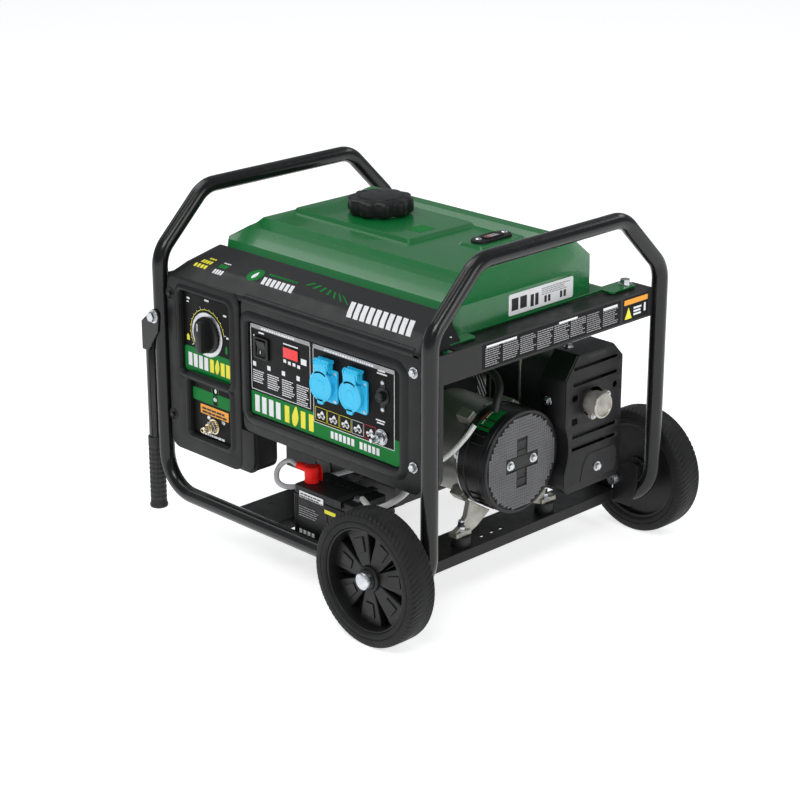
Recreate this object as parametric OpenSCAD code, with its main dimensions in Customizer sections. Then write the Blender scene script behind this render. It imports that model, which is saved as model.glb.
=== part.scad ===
/* [Frame] */
// Distance between the centre planes of the left and right hoops
hoop_span = 580; // [560:5:600]
// Distance between the centres of the front and rear posts
post_span = 491; // [486:1:496]
// Outer diameter of the frame tube
tube_d = 25; // [24:0.5:26]
// Wall thickness of the frame tube
tube_wall = 1.8; // [1.5:0.1:2.5]
// Height of the bottom tubes' centre line above the floor
bottom_z = 73.2; // [72:0.2:75]
// Height of the corner where a post leans inwards
shoulder_z = 455; // [450:1:460]
// Height of the top rails' centre line
rail_z = 545; // [540:1:550]
// Length of a top rail between its theoretical corners
rail_len = 307.6; // [300:0.2:315]

/* [Wheels] */
// Outer diameter of the tyre
wheel_d = 200; // [198:1:202]
// Width of the tyre
wheel_w = 47; // [44:1:48]
// Distance of the axle from the frame's middle, along X
axle_x = 230.7; // [228:0.1:233]
// Distance from the frame's middle to the outer face of a wheel
wheel_out = 318; // [317:1:320]
// Diameter of the axle bolt
axle_d = 16; // [15:0.5:17]

/* [Handles] */
// Height of the handle pivots
pivot_z = 358; // [354:1:360]
// Diameter of the handle tube
handle_d = 22; // [21:0.5:22]
// Outer diameter of the rubber grip
grip_d = 29; // [28:0.5:29]
// Length of the rubber grip
grip_len = 121; // [110:1:125]

/* [Fuel tank] */
// Width of the tank over its side faces, along X
tank_w = 496; // [490:1:498]
// Height of the seam between the two tank shells
seam_z = 427; // [426:0.5:428]
// Sheet thickness of the tank
tank_wall = 1.6; // [1.2:0.1:2]
// Diameter of the fuel cap
cap_d = 104; // [96:1:106]
// Inner diameter of the filler neck
neck_d = 52; // [44:1:54]

/* [Control panel] */
// Height of the panel's upper front edge
panel_top = 429; // [427:1:430]
// Depth of the panel moulding behind its face
panel_depth = 46; // [40:1:50]
// Width of a square socket flange
socket_w = 50; // [48:1:52]
// Diameter of the fuel selector knob
knob_d = 56; // [50:1:58]

/* [Engine and alternator] */
// Height of the crankshaft
crank_z = 194; // [192:1:196]
// Diameter of the alternator's end cover
cover_d = 160; // [156:1:162]
// Diameter of the stator housing
stator_d = 150; // [146:1:152]

/* [Battery] */
// Length of the battery along the front tube
battery_l = 132; // [128:1:134]
// Depth of the battery
battery_w = 70; // [66:1:72]
// Height of the battery
battery_h = 88; // [84:1:90]

/* [Hidden] */
$fn = 64;

// Frame
tube_r = tube_d / 2;
hoop_x = hoop_span / 2;
post_y = post_span / 2;
rail_y = rail_len / 2;
floor_bend = 60;     // bend radius where a post turns into a bottom tube
shoulder_bend = 50;  // bend radius of the upper corners
bend_x = hoop_x - floor_bend;
bend_z = bottom_z + floor_bend;
plate = 3;           // thickness of the pressed steel members
weld_gap = 0.05;     // gap between two lengths of bent tube
web_y = post_y - tube_r;
rail_face = 288;     // outer face of a side rail
rail_top = 424;
rail_h = 44;
member_top = bottom_z + 5.8;
right_member = [160, 226];
left_member = [-134, -46];
gap = 0.3;           // clearance between bodies that move past each other
leg_x = [-122, -70];
leg_y = 64;
foot_y = 44;
foot_h = 14;
fit_gap = 0.05;      // radial clearance of a shaft in its hole

// Wheels
wheel_r = wheel_d / 2;
wheel_y = wheel_out - wheel_w / 2;
rim_r = 73;
hub_r = 21;
spoke_w = 30;
hub_out = 312;
hub_in = wheel_out - wheel_w + 2;
axle_in = web_y - 14;

// Handles
handle_r = handle_d / 2;
handle_x = -(axle_x + wheel_r - grip_d / 2);
handle_top = pivot_z - tube_r - gap;
grip_bottom = 30;
ear_r = 11;
cheek_out = 15.8;    // outer face of a cheek plate, from the tube's middle
pivot_r = 5;

// Tank
tank_x = tank_w / 2;
ledge_z = 498;
plateau_z = 504;
plateau_right = 45;
cap_at = [-95, 36];
cap_r = cap_d / 2;
cap_low = plateau_z + 3;
cap_top = cap_low + 26;
neck_r = neck_d / 2;
neck_top = plateau_z + 9;
gasket_h = 3;
tab_x = 258;
tab_rear = 203;
tab_front = -179;
gauge_at = [124, 52];
gauge_z = ledge_z;
float_drop = 26;
float_pin = 2.5;
float_half = 8.3;     // inner faces of the two ears that hold the float's pin
float_rest = 40;      // angle of the float arm below level when the tank is empty

// Panel
face_y = -246;
panel_x = 273;
main_bottom = 218;
column_right = -76;
column_bottom = 148;
panel_back = face_y + panel_depth;
face_wall = 8;
plate_y = face_y + 4;   // bottom of the label recesses
label_face = plate_y - 1;
socket_at = [[81.5, 337], [142.5, 337]];
socket_r = 21;
well_r = 19.6;
lid_hinge_z = 34;
knob_at = [-184, 348.5];
knob_h = 20;
knob_bore = 5;
rocker_at = [-60, 357];
breaker_at = [196, 348];
breaker_r = 7;
ground_at = [193, 286];
gas_at = [-174, 203];
stud_r = 4;
gas_r = 7;
right_bolts = [[259.5, 399], [259.5, 259.5]];
left_bolts = [[-264, 398], [-266, 201]];
flange_bolts = concat(right_bolts, left_bolts);
tab_y = face_y + 8;      // front of the hoop tabs, behind the panel's wall

// Engine and alternator
cover_r = cover_d / 2;
stator_r = stator_d / 2;
shaft_r = 12.5;
cover_x = 242;
bell_x = 184;
stator_x = 82;
case_x = [-120, 58];
choke_at = [-95, 246];
head_x = -31;
head_half = 48;
engine_base = 91;
foot_z = 94;         // underside of the alternator's feet
shield_x = 210;      // inner edge of the muffler's heat shield
mount_at = [[205, -92], [205, 92], [-90, -60], [-90, 60]];

// Battery
battery_x = -13;
battery_y = -228;
battery_z = 63.7;
strap_x = 80;        // left edge of the hold-down strap

// Routes of the leads that run between two fixed ends
boot_lead = [[-26.4, -207, 171.7], [-40, -210, 176], [-52, -216, 168], [-56, -222, 156],
             [-50, -226, 144], [-38, -222, 138], [-28, -206, 136], [-24, -180, 136],
             [-20, -150, 138], [-6, -116, 143], [10, -98, 147], [14, -85, 148]];
engine_lead = [[111.6, -204, 156.4], [126, -211, 156.5], [146, -221, 157], [166, -224, 164],
               [186, -218, 176], [200, -206, 190], [206, -193, 208], [206, -192, 224], [205, -204, 236]];
loom = [[214, -32, 274], [212, -26, 290], [206, -14, 304], [196, -8, 314], [182, -4, 320],
        [164, -6, 324], [140, -20, 326], [110, -60, 330], [90, -110, 332], [80, -160, 330],
        [78, -198, 328], [78, -211.6, 328]];
sleeve = [[212, -73, 264], [206, -86, 246], [190, -98, 222], [172, -112, 204], [158, -132, 196],
          [146, -160, 206], [138, -188, 226], [136, -212, 240]];

// --- Shared shapes ---

// Rectangle with round corners, from one corner to the opposite one
module soft_rect(low, high, r) {
  translate([low[0] + r, low[1]]) square([high[0] - low[0] - 2 * r, high[1] - low[1]]);
  translate([low[0], low[1] + r]) square([high[0] - low[0], high[1] - low[1] - 2 * r]);
  for (x = [low[0] + r, high[0] - r], y = [low[1] + r, high[1] - r]) translate([x, y]) circle(r);
}

// Turns an outline drawn in X and Z into a plate between two Y values
module in_xz(y1, y2) translate([0, y2, 0]) rotate([90, 0, 0]) linear_extrude(y2 - y1) children();

// Turns an outline drawn in Y and Z into a plate between two X values
module in_yz(x1, x2) translate([x1, 0, 0]) rotate([90, 0, 90]) linear_extrude(x2 - x1) children();

module block(low, high) translate(low) cube(high - low);

module rod_x(x1, x2, y, z, r) translate([x1, y, z]) rotate([0, 90, 0]) cylinder(h = x2 - x1, r = r);

module rod_y(y1, y2, x, z, r) translate([x, y2, z]) rotate([90, 0, 0]) cylinder(h = y2 - y1, r = r);

module ring(r, wall) difference() {
  circle(r);
  if (wall < r) circle(r - wall);
}

function heading(a, b) = atan2(b[1] - a[1], b[0] - a[0]);
function turn_at(p, i) =
  let (d = heading(p[i], p[i + 1]) - heading(p[i - 1], p[i])) d > 180 ? d - 360 : d < -180 ? d + 360 : d;
function setback(p, i, bend) =
  i == 0 || i == len(p) - 1 ? 0 : bend * tan(abs(turn_at(p, i)) / 2);

// Round tube that follows a flat route, one length for each straight run and the arc that ends it.
// A weld gap parts each length from the one before.
module bent_tube(p, bend, r, wall) {
  for (i = [0:len(p) - 2]) {
    start = i == 0 ? 0 : setback(p, i, bend) + weld_gap;
    stop = norm(p[i + 1] - p[i]) - setback(p, i + 1, bend);
    translate(p[i]) rotate(heading(p[i], p[i + 1])) {
      translate([start, 0, 0]) rotate([0, 90, 0]) linear_extrude(stop - start) ring(r, wall);
      if (i < len(p) - 2) {
        t = turn_at(p, i + 1);
        mirror([0, t < 0 ? 1 : 0, 0]) translate([stop, bend, 0]) rotate(-90)
          rotate_extrude(angle = abs(t)) translate([bend, 0]) ring(r, wall);
      }
    }
  }
}

function unit(v) = v / norm(v);
function route_dir(p, i) = unit(p[min(i + 1, len(p) - 1)] - p[max(i - 1, 0)]);
function side_of(d) = unit(cross(d, abs(d[2]) > 0.9 ? [1, 0, 0] : [0, 0, 1]));
function sweep_ring(p, i, r, n) =
  let (d = route_dir(p, i), u = side_of(d), v = cross(d, u))
  [for (k = [0:n - 1]) p[i] + r * (cos(360 * k / n) * u + sin(360 * k / n) * v)];

// Flexible lead of radius r through a list of points
module lead(p, r, n = 8) {
  m = len(p);
  polyhedron(
    points = [for (i = [0:m - 1]) each sweep_ring(p, i, r, n)],
    faces = concat(
      [[for (k = [0:n - 1]) k]],
      [for (i = [0:m - 2], k = [0:n - 1]) [i * n + k, (i + 1) * n + k, (i + 1) * n + (k + 1) % n]],
      [for (i = [0:m - 2], k = [0:n - 1]) [i * n + k, (i + 1) * n + (k + 1) % n, i * n + (k + 1) % n]],
      [[for (k = [n - 1:-1:0]) (m - 1) * n + k]]
    )
  );
}

// Hexagon bolt head with a washer, seated at z = 0 and standing up
module bolt_head(r) {
  cylinder(h = 0.25 * r, r = 1.35 * r);
  translate([0, 0, 0.25 * r]) cylinder(h = 0.8 * r, r = r, $fn = 6);
}

// --- Frame ---

module post_cores() for (s = [-1, 1], x = [-hoop_x, hoop_x])
  translate([x, s * post_y, bend_z]) cylinder(h = shoulder_z - bend_z - 30, r = tube_r);

// Tube from the end of one bottom tube, up and over the top, and down to the other
module hoop() {
  translate([hoop_x, 0, 0]) rotate([90, 0, 90])
    bent_tube([[-post_y, bend_z], [-post_y, shoulder_z], [-rail_y, rail_z],
               [rail_y, rail_z], [post_y, shoulder_z], [post_y, bend_z]], shoulder_bend, tube_r, tube_wall);
  for (s = [-1, 1]) translate([bend_x, s * post_y, bend_z]) rotate([90, 0, 0]) rotate(-90)
    rotate_extrude(angle = 90) translate([floor_bend, 0]) ring(tube_r, tube_wall);
}

// Tabs on a front post that carry the panel; points are given for the right-hand hoop
module panel_tabs(points) for (p = points) difference() {
  block([p[0] - 9, tab_y, p[1] - 9], [hoop_x, tab_y + plate, p[1] + 9]);
  post_cores();
  rod_y(face_y, tab_y + 10, p[0], p[1], 3);
}

module left_hoop() color("#202224") mirror([1, 0, 0]) {
  difference() {
    hoop();
    for (s = [-1, 1]) rod_y(s * post_y - 20, s * post_y + 20, hoop_x, pivot_z, pivot_r);
  }
  panel_tabs([for (p = left_bolts) [-p[0], p[1]]]);
}

module right_hoop() color("#202224") {
  hoop();
  panel_tabs(right_bolts);
}

module bottom_tubes() color("#202224") for (s = [-1, 1])
  translate([-bend_x, s * post_y, bottom_z]) rotate([0, 90, 0]) linear_extrude(2 * bend_x)
    ring(tube_r, tube_wall);

module side_rail() {
  difference() {
    block([rail_face - plate, -web_y - 4, rail_top - rail_h], [rail_face, web_y + 4, rail_top]);
    post_cores();
  }
  difference() {
    block([rail_face - 41, tab_front - 11, rail_top - plate], [rail_face - plate, web_y, rail_top]);
    for (y = [tab_front, tab_rear]) translate([tab_x, y, rail_top - 10]) cylinder(h = 20, r = 5);
  }
}

module side_rails() color("#1c1d1f") {
  side_rail();
  mirror([1, 0, 0]) side_rail();
}

module floor_tubes() for (s = [-1, 1]) rod_x(-400, 400, s * post_y, bottom_z, tube_r);

module left_cross_member() color("#1a1b1d") difference() {
  union() {
    block([left_member[0], -web_y - 4, member_top - plate], [left_member[1], web_y + 4, member_top]);
    for (x = [left_member[0], left_member[1] - plate])
      block([x, -web_y - 2, member_top - 18], [x + plate, web_y + 2, member_top - plate]);
  }
  floor_tubes();
  for (y = [-60, 60]) translate([-90, y, member_top - 10]) cylinder(h = 20, r = 5);
  translate([-108, -189, member_top - 10]) cylinder(h = 20, r = 4);
}

module axle_gusset() in_xz(-web_y, -web_y + 4) difference() {
  polygon([[188, 61], [262, 61], [274, 100], [274, 132], [248, 132], [188, 90]]);
  translate([axle_x, wheel_r]) circle(axle_d / 2);
}

module right_cross_member() color("#1a1b1d") {
  difference() {
    block([right_member[0], -web_y - 4, member_top - plate],
          [right_member[1] - plate, web_y + 4, member_top]);
    floor_tubes();
    for (y = [-48, -26, -7]) translate([202, y - 4, member_top - 10]) cube([6, 9, 20]);
    for (y = [-92, 92]) translate([205, y, member_top - 10]) cylinder(h = 20, r = 5);
    for (s = [-1, 1]) block([187, s * web_y - 4, 60], [230, s * web_y + 4, 90]);
  }
  block([right_member[1] - plate, -web_y + 4, member_top - 18], [right_member[1], web_y - 4, member_top]);
  axle_gusset();
  mirror([0, 1, 0]) axle_gusset();
}

module support_leg() color("#1a1b1d") {
  block([leg_x[0], -leg_y, member_top - 2 * plate], [leg_x[1], leg_y, member_top - plate]);
  for (s = [-1, 1]) {
    block([leg_x[0], s > 0 ? leg_y - plate : -leg_y, foot_h],
          [leg_x[1], s > 0 ? leg_y : -leg_y + plate, member_top - 2 * plate]);
    block([leg_x[0], s > 0 ? 28 : plate - leg_y, foot_h],
          [leg_x[1], s > 0 ? leg_y - plate : -28, foot_h + plate]);
  }
}

module leg_feet() color("#101010") for (s = [-1, 1])
  translate([(leg_x[0] + leg_x[1]) / 2, s * foot_y, 0]) cylinder(h = foot_h, r1 = 17, r2 = 14);

// --- Wheels ---

module at_wheel(side) translate([axle_x, side * wheel_y, wheel_r]) rotate([90, 0, 0]) children();

module tyre() rotate_extrude($fn = 96) polygon([
  [rim_r, -wheel_w / 2 + 4], [rim_r + 6, -wheel_w / 2], [wheel_r - 5, -wheel_w / 2],
  [wheel_r, -wheel_w / 2 + 6], [wheel_r, wheel_w / 2 - 6], [wheel_r - 5, wheel_w / 2],
  [rim_r + 6, wheel_w / 2], [rim_r, wheel_w / 2 - 4]]);

// The rim's outer side is +z for the front wheel and -z for the rear wheel
module rim(outer) {
  hub_low = outer > 0 ? hub_in - wheel_y : -(hub_out - wheel_y);
  hub_high = outer > 0 ? hub_out - wheel_y : wheel_y - hub_in;
  rotate_extrude($fn = 96) {
    translate([rim_r - 9, -wheel_w / 2 + 4]) square([9, wheel_w - 8]);
    translate([axle_d / 2 + fit_gap, hub_low]) square([hub_r - axle_d / 2 - fit_gap, hub_high - hub_low]);
  }
  for (i = [0:4]) rotate(i * 72 + 90) translate([hub_r - 2, -spoke_w / 2, -7])
    cube([rim_r - 3 - hub_r, spoke_w, 14]);
}

module front_tyre() color("#161616") at_wheel(-1) tyre();
module front_rim() color("#1e1e1f") at_wheel(-1) rim(1);
module rear_tyre() color("#161616") at_wheel(1) tyre();
module rear_rim() color("#1e1e1f") at_wheel(1) rim(-1);

module axle_bolt() {
  rod_y(axle_in, hub_out + 4, axle_x, wheel_r, axle_d / 2);
  difference() {
    rod_y(hub_out + gap, hub_out + gap + 2.5, axle_x, wheel_r, 13);
    rod_y(hub_out, hub_out + 5, axle_x, wheel_r, axle_d / 2);
  }
  translate([axle_x, hub_out + gap + 2.5, wheel_r]) rotate([-90, 0, 0]) cylinder(h = 6, r = 10.5, $fn = 6);
  difference() {
    rod_y(web_y, hub_in - gap, axle_x, wheel_r, 13);
    rod_y(web_y - 1, hub_in, axle_x, wheel_r, axle_d / 2);
  }
}

module axle_bolts() color("silver") difference() {
  union() {
    axle_bolt();
    mirror([0, 1, 0]) axle_bolt();
  }
  for (s = [-1, 1]) translate([axle_x, s * (axle_in + 5), wheel_r - 12]) cylinder(h = 24, r = 1.6);
}

// Spring clips through the inner ends of the axle bolts
module axle_clips() color("silver")
  for (s = [-1, 1]) translate([axle_x, s * (axle_in + 5), wheel_r]) {
  translate([0, 0, -14]) cylinder(h = 30, r = 1.5);
  translate([0, 0, 22]) rotate([90, 0, 0]) rotate_extrude() translate([6, 0]) circle(1.5);
}

// --- Folding handles ---

// Cheek plate on one side of a handle tube, with the pivot hole
module handle_cheek(side, s) difference() {
  post = side * post_y;
  union() {
    in_xz(post + (s > 0 ? tube_r + gap : -cheek_out), post + (s > 0 ? cheek_out : -tube_r - gap)) {
      polygon([[-322, 298], [-322, 344], [-hoop_x - 8, pivot_z + 7], [-hoop_x + ear_r, pivot_z],
               [-hoop_x + 8, pivot_z - 24], [-308, 298]]);
      translate([-hoop_x, pivot_z]) circle(ear_r);
    }
    in_xz(post + (s > 0 ? handle_r - 0.6 : 2 - cheek_out), post + (s > 0 ? cheek_out - 2 : 0.6 - handle_r))
      polygon([[-322, 298], [-322, 344], [-306, 344], [-306, 298]]);
  }
  rod_y(post - 20, post + 20, -hoop_x, pivot_z, pivot_r + fit_gap);
  translate([handle_x, post, 290]) cylinder(h = 60, r = handle_r);
}

module handle(side) {
  translate([handle_x, side * post_y, grip_bottom + 4]) linear_extrude(handle_top - grip_bottom - 4)
    ring(handle_r, tube_wall);
  for (s = [-1, 1]) handle_cheek(side, s);
}

module grip(side) translate([handle_x, side * post_y, grip_bottom]) rotate_extrude() polygon([
  [0, 0], [grip_d / 2, 0], [grip_d / 2, 6], [grip_d / 2 - 1.3, 8], [grip_d / 2 - 1.3, grip_len],
  [handle_r, grip_len], [handle_r, 4], [0, 4]]);

module front_handle() color("#202224") handle(-1);
module rear_handle() color("#202224") handle(1);
module front_grip() color("#141414") grip(-1);
module rear_grip() color("#141414") grip(1);

module handle_pivot_bolts() color("silver") for (s = [-1, 1]) translate([-hoop_x, s * post_y, pivot_z]) {
  rod_y(-cheek_out - gap - 1, cheek_out + gap + 1, 0, 0, pivot_r);
  for (t = [-1, 1]) translate([0, t * (cheek_out + gap), 0]) rotate([-t * 90, 0, 0]) bolt_head(8);
}

// --- Fuel tank ---

// Cross-section of the upper shell, front to rear, under a flat top at height top
module tank_side(t, top) polygon([
  [-165 + t, seam_z], [-165 + t, 452], [-151 + t, 470 - t], [-116 + t / 2, 486 - t], [-104, 489 - t],
  [-97, ledge_z - t], [-50, ledge_z - t], [-42, top - t], [112, top - t], [122, top + 5 - t],
  [134, top + 2 - t], [160 - t, 462 - t / 2], [164 - t, 440], [164 - t, seam_z]]);

// Outline of the upper shell seen from the front
module tank_front(t) polygon([
  [-tank_x + t, seam_z], [-tank_x + t, 468], [-204 + t, 511 - t], [204 - t, 511 - t],
  [tank_x - t, 468], [tank_x - t, seam_z]]);

// Outline of the upper shell seen from above
module tank_plan(t) polygon([
  [-tank_x + t, -140], [-tank_x + 22, -166 + t], [tank_x - 22, -166 + t], [tank_x - t, -140],
  [tank_x - t, 132], [tank_x - 30, 166 - t], [-tank_x + 30, 166 - t], [-tank_x + t, 132]]);

// The whole shell up to its ledge, and the plateau that carries the filler
module tank_dome(t) intersection() {
  union() {
    in_yz(-tank_x, tank_x) tank_side(t, ledge_z);
    in_yz(-tank_x, plateau_right - t) tank_side(t, plateau_z);
  }
  in_xz(-200, 200) tank_front(t);
  translate([0, 0, seam_z - 1]) linear_extrude(100) tank_plan(t);
}

module tank_flange_outline() {
  soft_rect([-tank_x - 3, -170], [tank_x + 3, 170], 14);
  for (s = [-1, 1]) {
    soft_rect([s > 0 ? 240 : -272, tab_rear - 46], [s > 0 ? 272 : -240, tab_rear + 12], 8);
    soft_rect([s > 0 ? 240 : -272, tab_front - 12], [s > 0 ? 272 : -240, tab_front + 46], 8);
  }
}

module tab_holes() for (s = [-1, 1], y = [tab_front, tab_rear])
  translate([s * tab_x, y, seam_z - 20]) cylinder(h = 40, r = 4);

module tank_shell() color("#1c6b35") difference() {
  union() {
    tank_dome(0);
    translate([0, 0, seam_z]) linear_extrude(tank_wall) tank_flange_outline();
  }
  translate([0, 0, -0.01]) tank_dome(tank_wall);
  tab_holes();
  translate([cap_at[0], cap_at[1], plateau_z - 20]) cylinder(h = 30, r = neck_r + 2);
  translate([gauge_at[0], gauge_at[1], 470]) cylinder(h = 40, r = 15);
}

module tank_base() color("#1a5c30") difference() {
  union() {
    translate([0, 0, seam_z - 41]) linear_extrude(41) soft_rect([-225, -140], [225, 140], 24);
    translate([0, 0, seam_z - tank_wall]) linear_extrude(tank_wall) tank_flange_outline();
  }
  translate([0, 0, seam_z - 41 + tank_wall]) linear_extrude(50)
    soft_rect([-225 + tank_wall, -140 + tank_wall], [225 - tank_wall, 140 - tank_wall], 24 - tank_wall);
  tab_holes();
}

module filler_neck() color("#1c6b35") translate([cap_at[0], cap_at[1], 0]) rotate_extrude() polygon([
  [neck_r, plateau_z - 8], [neck_r + 2, plateau_z - 8], [neck_r + 2, plateau_z], [neck_r + 14, plateau_z],
  [neck_r + 14, plateau_z + 2], [neck_r + 4, plateau_z + 2], [neck_r + 4, neck_top], [neck_r, neck_top]]);

module cap_gasket() color("#0c0c0c") translate([cap_at[0], cap_at[1], neck_top + gap]) rotate_extrude()
  translate([neck_r - 6, 0]) square([11, gasket_h]);

module fuel_cap() color("#17181a") translate([cap_at[0], cap_at[1], 0]) difference() {
  union() {
    translate([0, 0, cap_low]) cylinder(h = cap_top - cap_low - 4, r = cap_r - 3);
    translate([0, 0, cap_top - 4]) cylinder(h = 4, r1 = cap_r - 5, r2 = cap_r - 12);
    for (i = [0:9]) rotate(i * 36) translate([cap_r - 9, 0, cap_low])
      cylinder(h = cap_top - cap_low - 5, r = 9);
  }
  translate([0, 0, cap_low - 1]) cylinder(h = neck_top + 2 * gap + gasket_h - cap_low + 1, r = neck_r + 8);
}

module fuel_gauge() color("#131416") translate([gauge_at[0], gauge_at[1], gauge_z]) {
  difference() {
    linear_extrude(12) soft_rect([-14, -38], [14, 38], 13);
    translate([0, 0, 10]) linear_extrude(5) soft_rect([-6, -13], [6, 13], 3);
  }
  translate([0, 0, -20]) cylinder(h = 20, r = 14.5);
  difference() {
    for (y = [-11, float_half]) translate([-5, y, -32]) cube([10, 11 - float_half, 13]);
    rod_y(-12, 12, 0, -float_drop, float_pin + fit_gap);
  }
}

// Float of the fuel gauge, hanging inside the empty tank
module float_arm() color("peru") translate([gauge_at[0], gauge_at[1], gauge_z - float_drop]) {
  rod_y(-11, 11, 0, 0, float_pin);
  rod_y(gap - float_half, float_half - gap, 0, 0, float_pin + 2);
  rotate([0, -float_rest, 0]) {
    rod_x(-75, 0, 0, 0, 1.5);
    rod_x(-95, -75, 0, 0, 11);
  }
}

module tank_bolts() color("silver")
  for (s = [-1, 1], y = [tab_front, tab_rear]) translate([s * tab_x, y, 0]) {
  translate([0, 0, seam_z + tank_wall]) bolt_head(8);
  translate([0, 0, rail_top - 8]) cylinder(h = seam_z + tank_wall - rail_top + 8, r = 3.8);
  translate([0, 0, rail_top]) difference() {
    cylinder(h = seam_z - tank_wall - rail_top, r = 9);
    cylinder(h = 10, r = 3.8);
  }
}

// --- Control panel ---

module panel_outline(t) {
  soft_rect([-panel_x + t, column_bottom + t], [column_right - t, panel_top - t], 20 - t);
  soft_rect([-panel_x + t, main_bottom + t], [panel_x - t, panel_top - t], 16 - t);
}

module cowl(t) intersection() {
  in_yz(-panel_x + t, panel_x - t) polygon([
    [face_y + t, panel_top - 16], [face_y + t, panel_top - 1], [face_y + 10, panel_top + 6 - t],
    [-166, 464 - t], [-166, 456 - t], [panel_back, panel_top - 16]]);
  in_xz(face_y, -160) polygon([
    [-panel_x + t, 400], [-panel_x + t, panel_top - 4], [-panel_x + 30, 466 - t],
    [panel_x - 30, 466 - t], [panel_x - t, panel_top - 4], [panel_x - t, 400]]);
}

// Holes through the panel and its label plates for the parts that pass through both
module fitting_holes() {
  for (p = socket_at) rod_y(face_y - 1, face_y + 12, p[0], p[1], socket_r + 0.5);
  rod_y(face_y - 1, face_y + 12, knob_at[0], knob_at[1], knob_bore);
  in_xz(face_y - 1, face_y + 12) soft_rect(rocker_at - [12, 15], rocker_at + [12, 15], 2);
  rod_y(face_y - 1, face_y + 12, breaker_at[0], breaker_at[1], breaker_r + gap);
  rod_y(face_y - 1, face_y + 12, ground_at[0], ground_at[1], stud_r);
  rod_y(face_y - 1, face_y + 12, gas_at[0], gas_at[1], gas_r);
}

// The three recesses of the panel, or plates that fill them with clearance c at the edges
module recesses(c) {
  soft_rect([-242 + c, 279 + c], [-130 - c, 409 - c], 6 - c);
  soft_rect([-226 + c, 181 + c], [-133 - c, 272 - c], 6 - c);
  soft_rect([-86 + c, 260 + c], [232 - c, 394 - c], 6 - c);
}

module control_panel() color("#2b2c2e") difference() {
  union() {
    in_xz(face_y, panel_back) panel_outline(0);
    cowl(0);
  }
  in_xz(face_y + face_wall, panel_back + 1) panel_outline(4);
  translate([0, 4, -3]) intersection() {
    cowl(3);
    block([-panel_x, face_y + face_wall - 4, 300], [panel_x, 0, 500]);
  }
  for (p = flange_bolts) block([min(p[0], sign(p[0]) * (panel_x + 1)) - 9.5, tab_y - 0.2, p[1] - 10],
                               [max(p[0], sign(p[0]) * (panel_x + 1)) + 9.5, panel_back + 1, p[1] + 10]);
  for (s = [-1, 1]) translate([s * tab_x, tab_front, 400]) cylinder(h = 80, r = 15);
  for (p = flange_bolts) rod_y(face_y - 1, face_y + 12, p[0], p[1], 3);
  in_xz(face_y - 1, plate_y) recesses(0);
  fitting_holes();
}

module label_plates() color("#10803a") difference() {
  in_xz(label_face, plate_y) recesses(1);
  fitting_holes();
}

module selector_knob() color("#1a1a1b") {
  rod_y(label_face - 5, label_face - gap, knob_at[0], knob_at[1], knob_d / 2);
  rod_y(label_face - gap - 1, face_y + 20, knob_at[0], knob_at[1], knob_bore - fit_gap);
  in_xz(label_face - knob_h, label_face - 5) translate(knob_at) soft_rect([-8, -26], [8, 26], 4);
}

// The rocker's face is two flats that meet over its pivot
module start_rocker() color("#27282a") translate([rocker_at[0], label_face + 1, rocker_at[1]]) {
  in_yz(-9.5, 9.5) polygon([[6, -10], [-4, -12.5], [-2, 0], [-6, 12.5], [6, 10]]);
  rod_x(-11.5, 11.5, 0, 0, 2);
}

module socket_base(p) difference() {
  union() {
    in_xz(label_face - 4, label_face) translate(p)
      soft_rect(-[socket_w, socket_w] / 2, [socket_w, socket_w] / 2, 4);
    rod_y(label_face - 10, face_y + 34, p[0], p[1], socket_r);
    for (s = [-1, 1]) in_yz(p[0] + (s > 0 ? 12.5 : -15), p[0] + (s > 0 ? 15 : -12.5)) {
      translate([label_face - 14, p[1] + 20]) square([12, lid_hinge_z - 20]);
      translate([label_face - 9, p[1] + lid_hinge_z]) circle(5);
    }
    translate([p[0] - 15, label_face - 3, p[1] + 20]) cube([30, 3, 19]);
  }
  rod_y(label_face - 20, label_face + 6, p[0], p[1], well_r);
  for (s = [-1, 1]) rod_y(label_face, label_face + 26, p[0] + s * 9.5, p[1], 2.5);
}

module socket_bases() color("#2cb8ea") for (p = socket_at) {
  socket_base(p);
  rod_x(p[0] - 15, p[0] + 15, label_face - 9, p[1] + lid_hinge_z, 1.5);
}

module socket_lid(p) difference() {
  union() {
    rod_y(label_face - 14.5, label_face - 11.5, p[0], p[1], 23);
    in_xz(label_face - 14.5, label_face - 11.5) translate(p) {
      translate([-12, 15]) square([24, lid_hinge_z - 15]);
      translate([-6, -27]) square([12, 8]);
    }
    rod_x(p[0] - 12, p[0] + 12, label_face - 9, p[1] + lid_hinge_z, 5.5);
  }
  rod_x(p[0] - 20, p[0] + 20, label_face - 9, p[1] + lid_hinge_z, 1.5 + fit_gap);
}

module socket_lid_1() color("#2cc0f0") socket_lid(socket_at[0]);
module socket_lid_2() color("#2cc0f0") socket_lid(socket_at[1]);

module breaker_button() color("#161616") {
  rod_y(label_face - 10, face_y + face_wall + gap + 1, breaker_at[0], breaker_at[1], breaker_r);
  rod_y(face_y + face_wall + gap, face_y + face_wall + 4, breaker_at[0], breaker_at[1], breaker_r + 2);
}

module ground_stud() color("silver") {
  rod_y(label_face - 13, face_y + 20, ground_at[0], ground_at[1], stud_r);
  rod_y(label_face - 22, label_face - 13, ground_at[0], ground_at[1], stud_r - 0.4);
  difference() {
    rod_y(label_face - 3, label_face, ground_at[0], ground_at[1], 11);
    rod_y(label_face - 4, label_face + 1, ground_at[0], ground_at[1], stud_r);
  }
}

module ground_nut() color("silver") difference() {
  union() {
    rod_y(label_face - 12, label_face - 3 - gap, ground_at[0], ground_at[1], 7);
    in_xz(label_face - 10, label_face - 6) translate(ground_at) soft_rect([-13, -4], [13, 4], 3.9);
  }
  rod_y(label_face - 14, label_face, ground_at[0], ground_at[1], stud_r + fit_gap);
}

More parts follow.
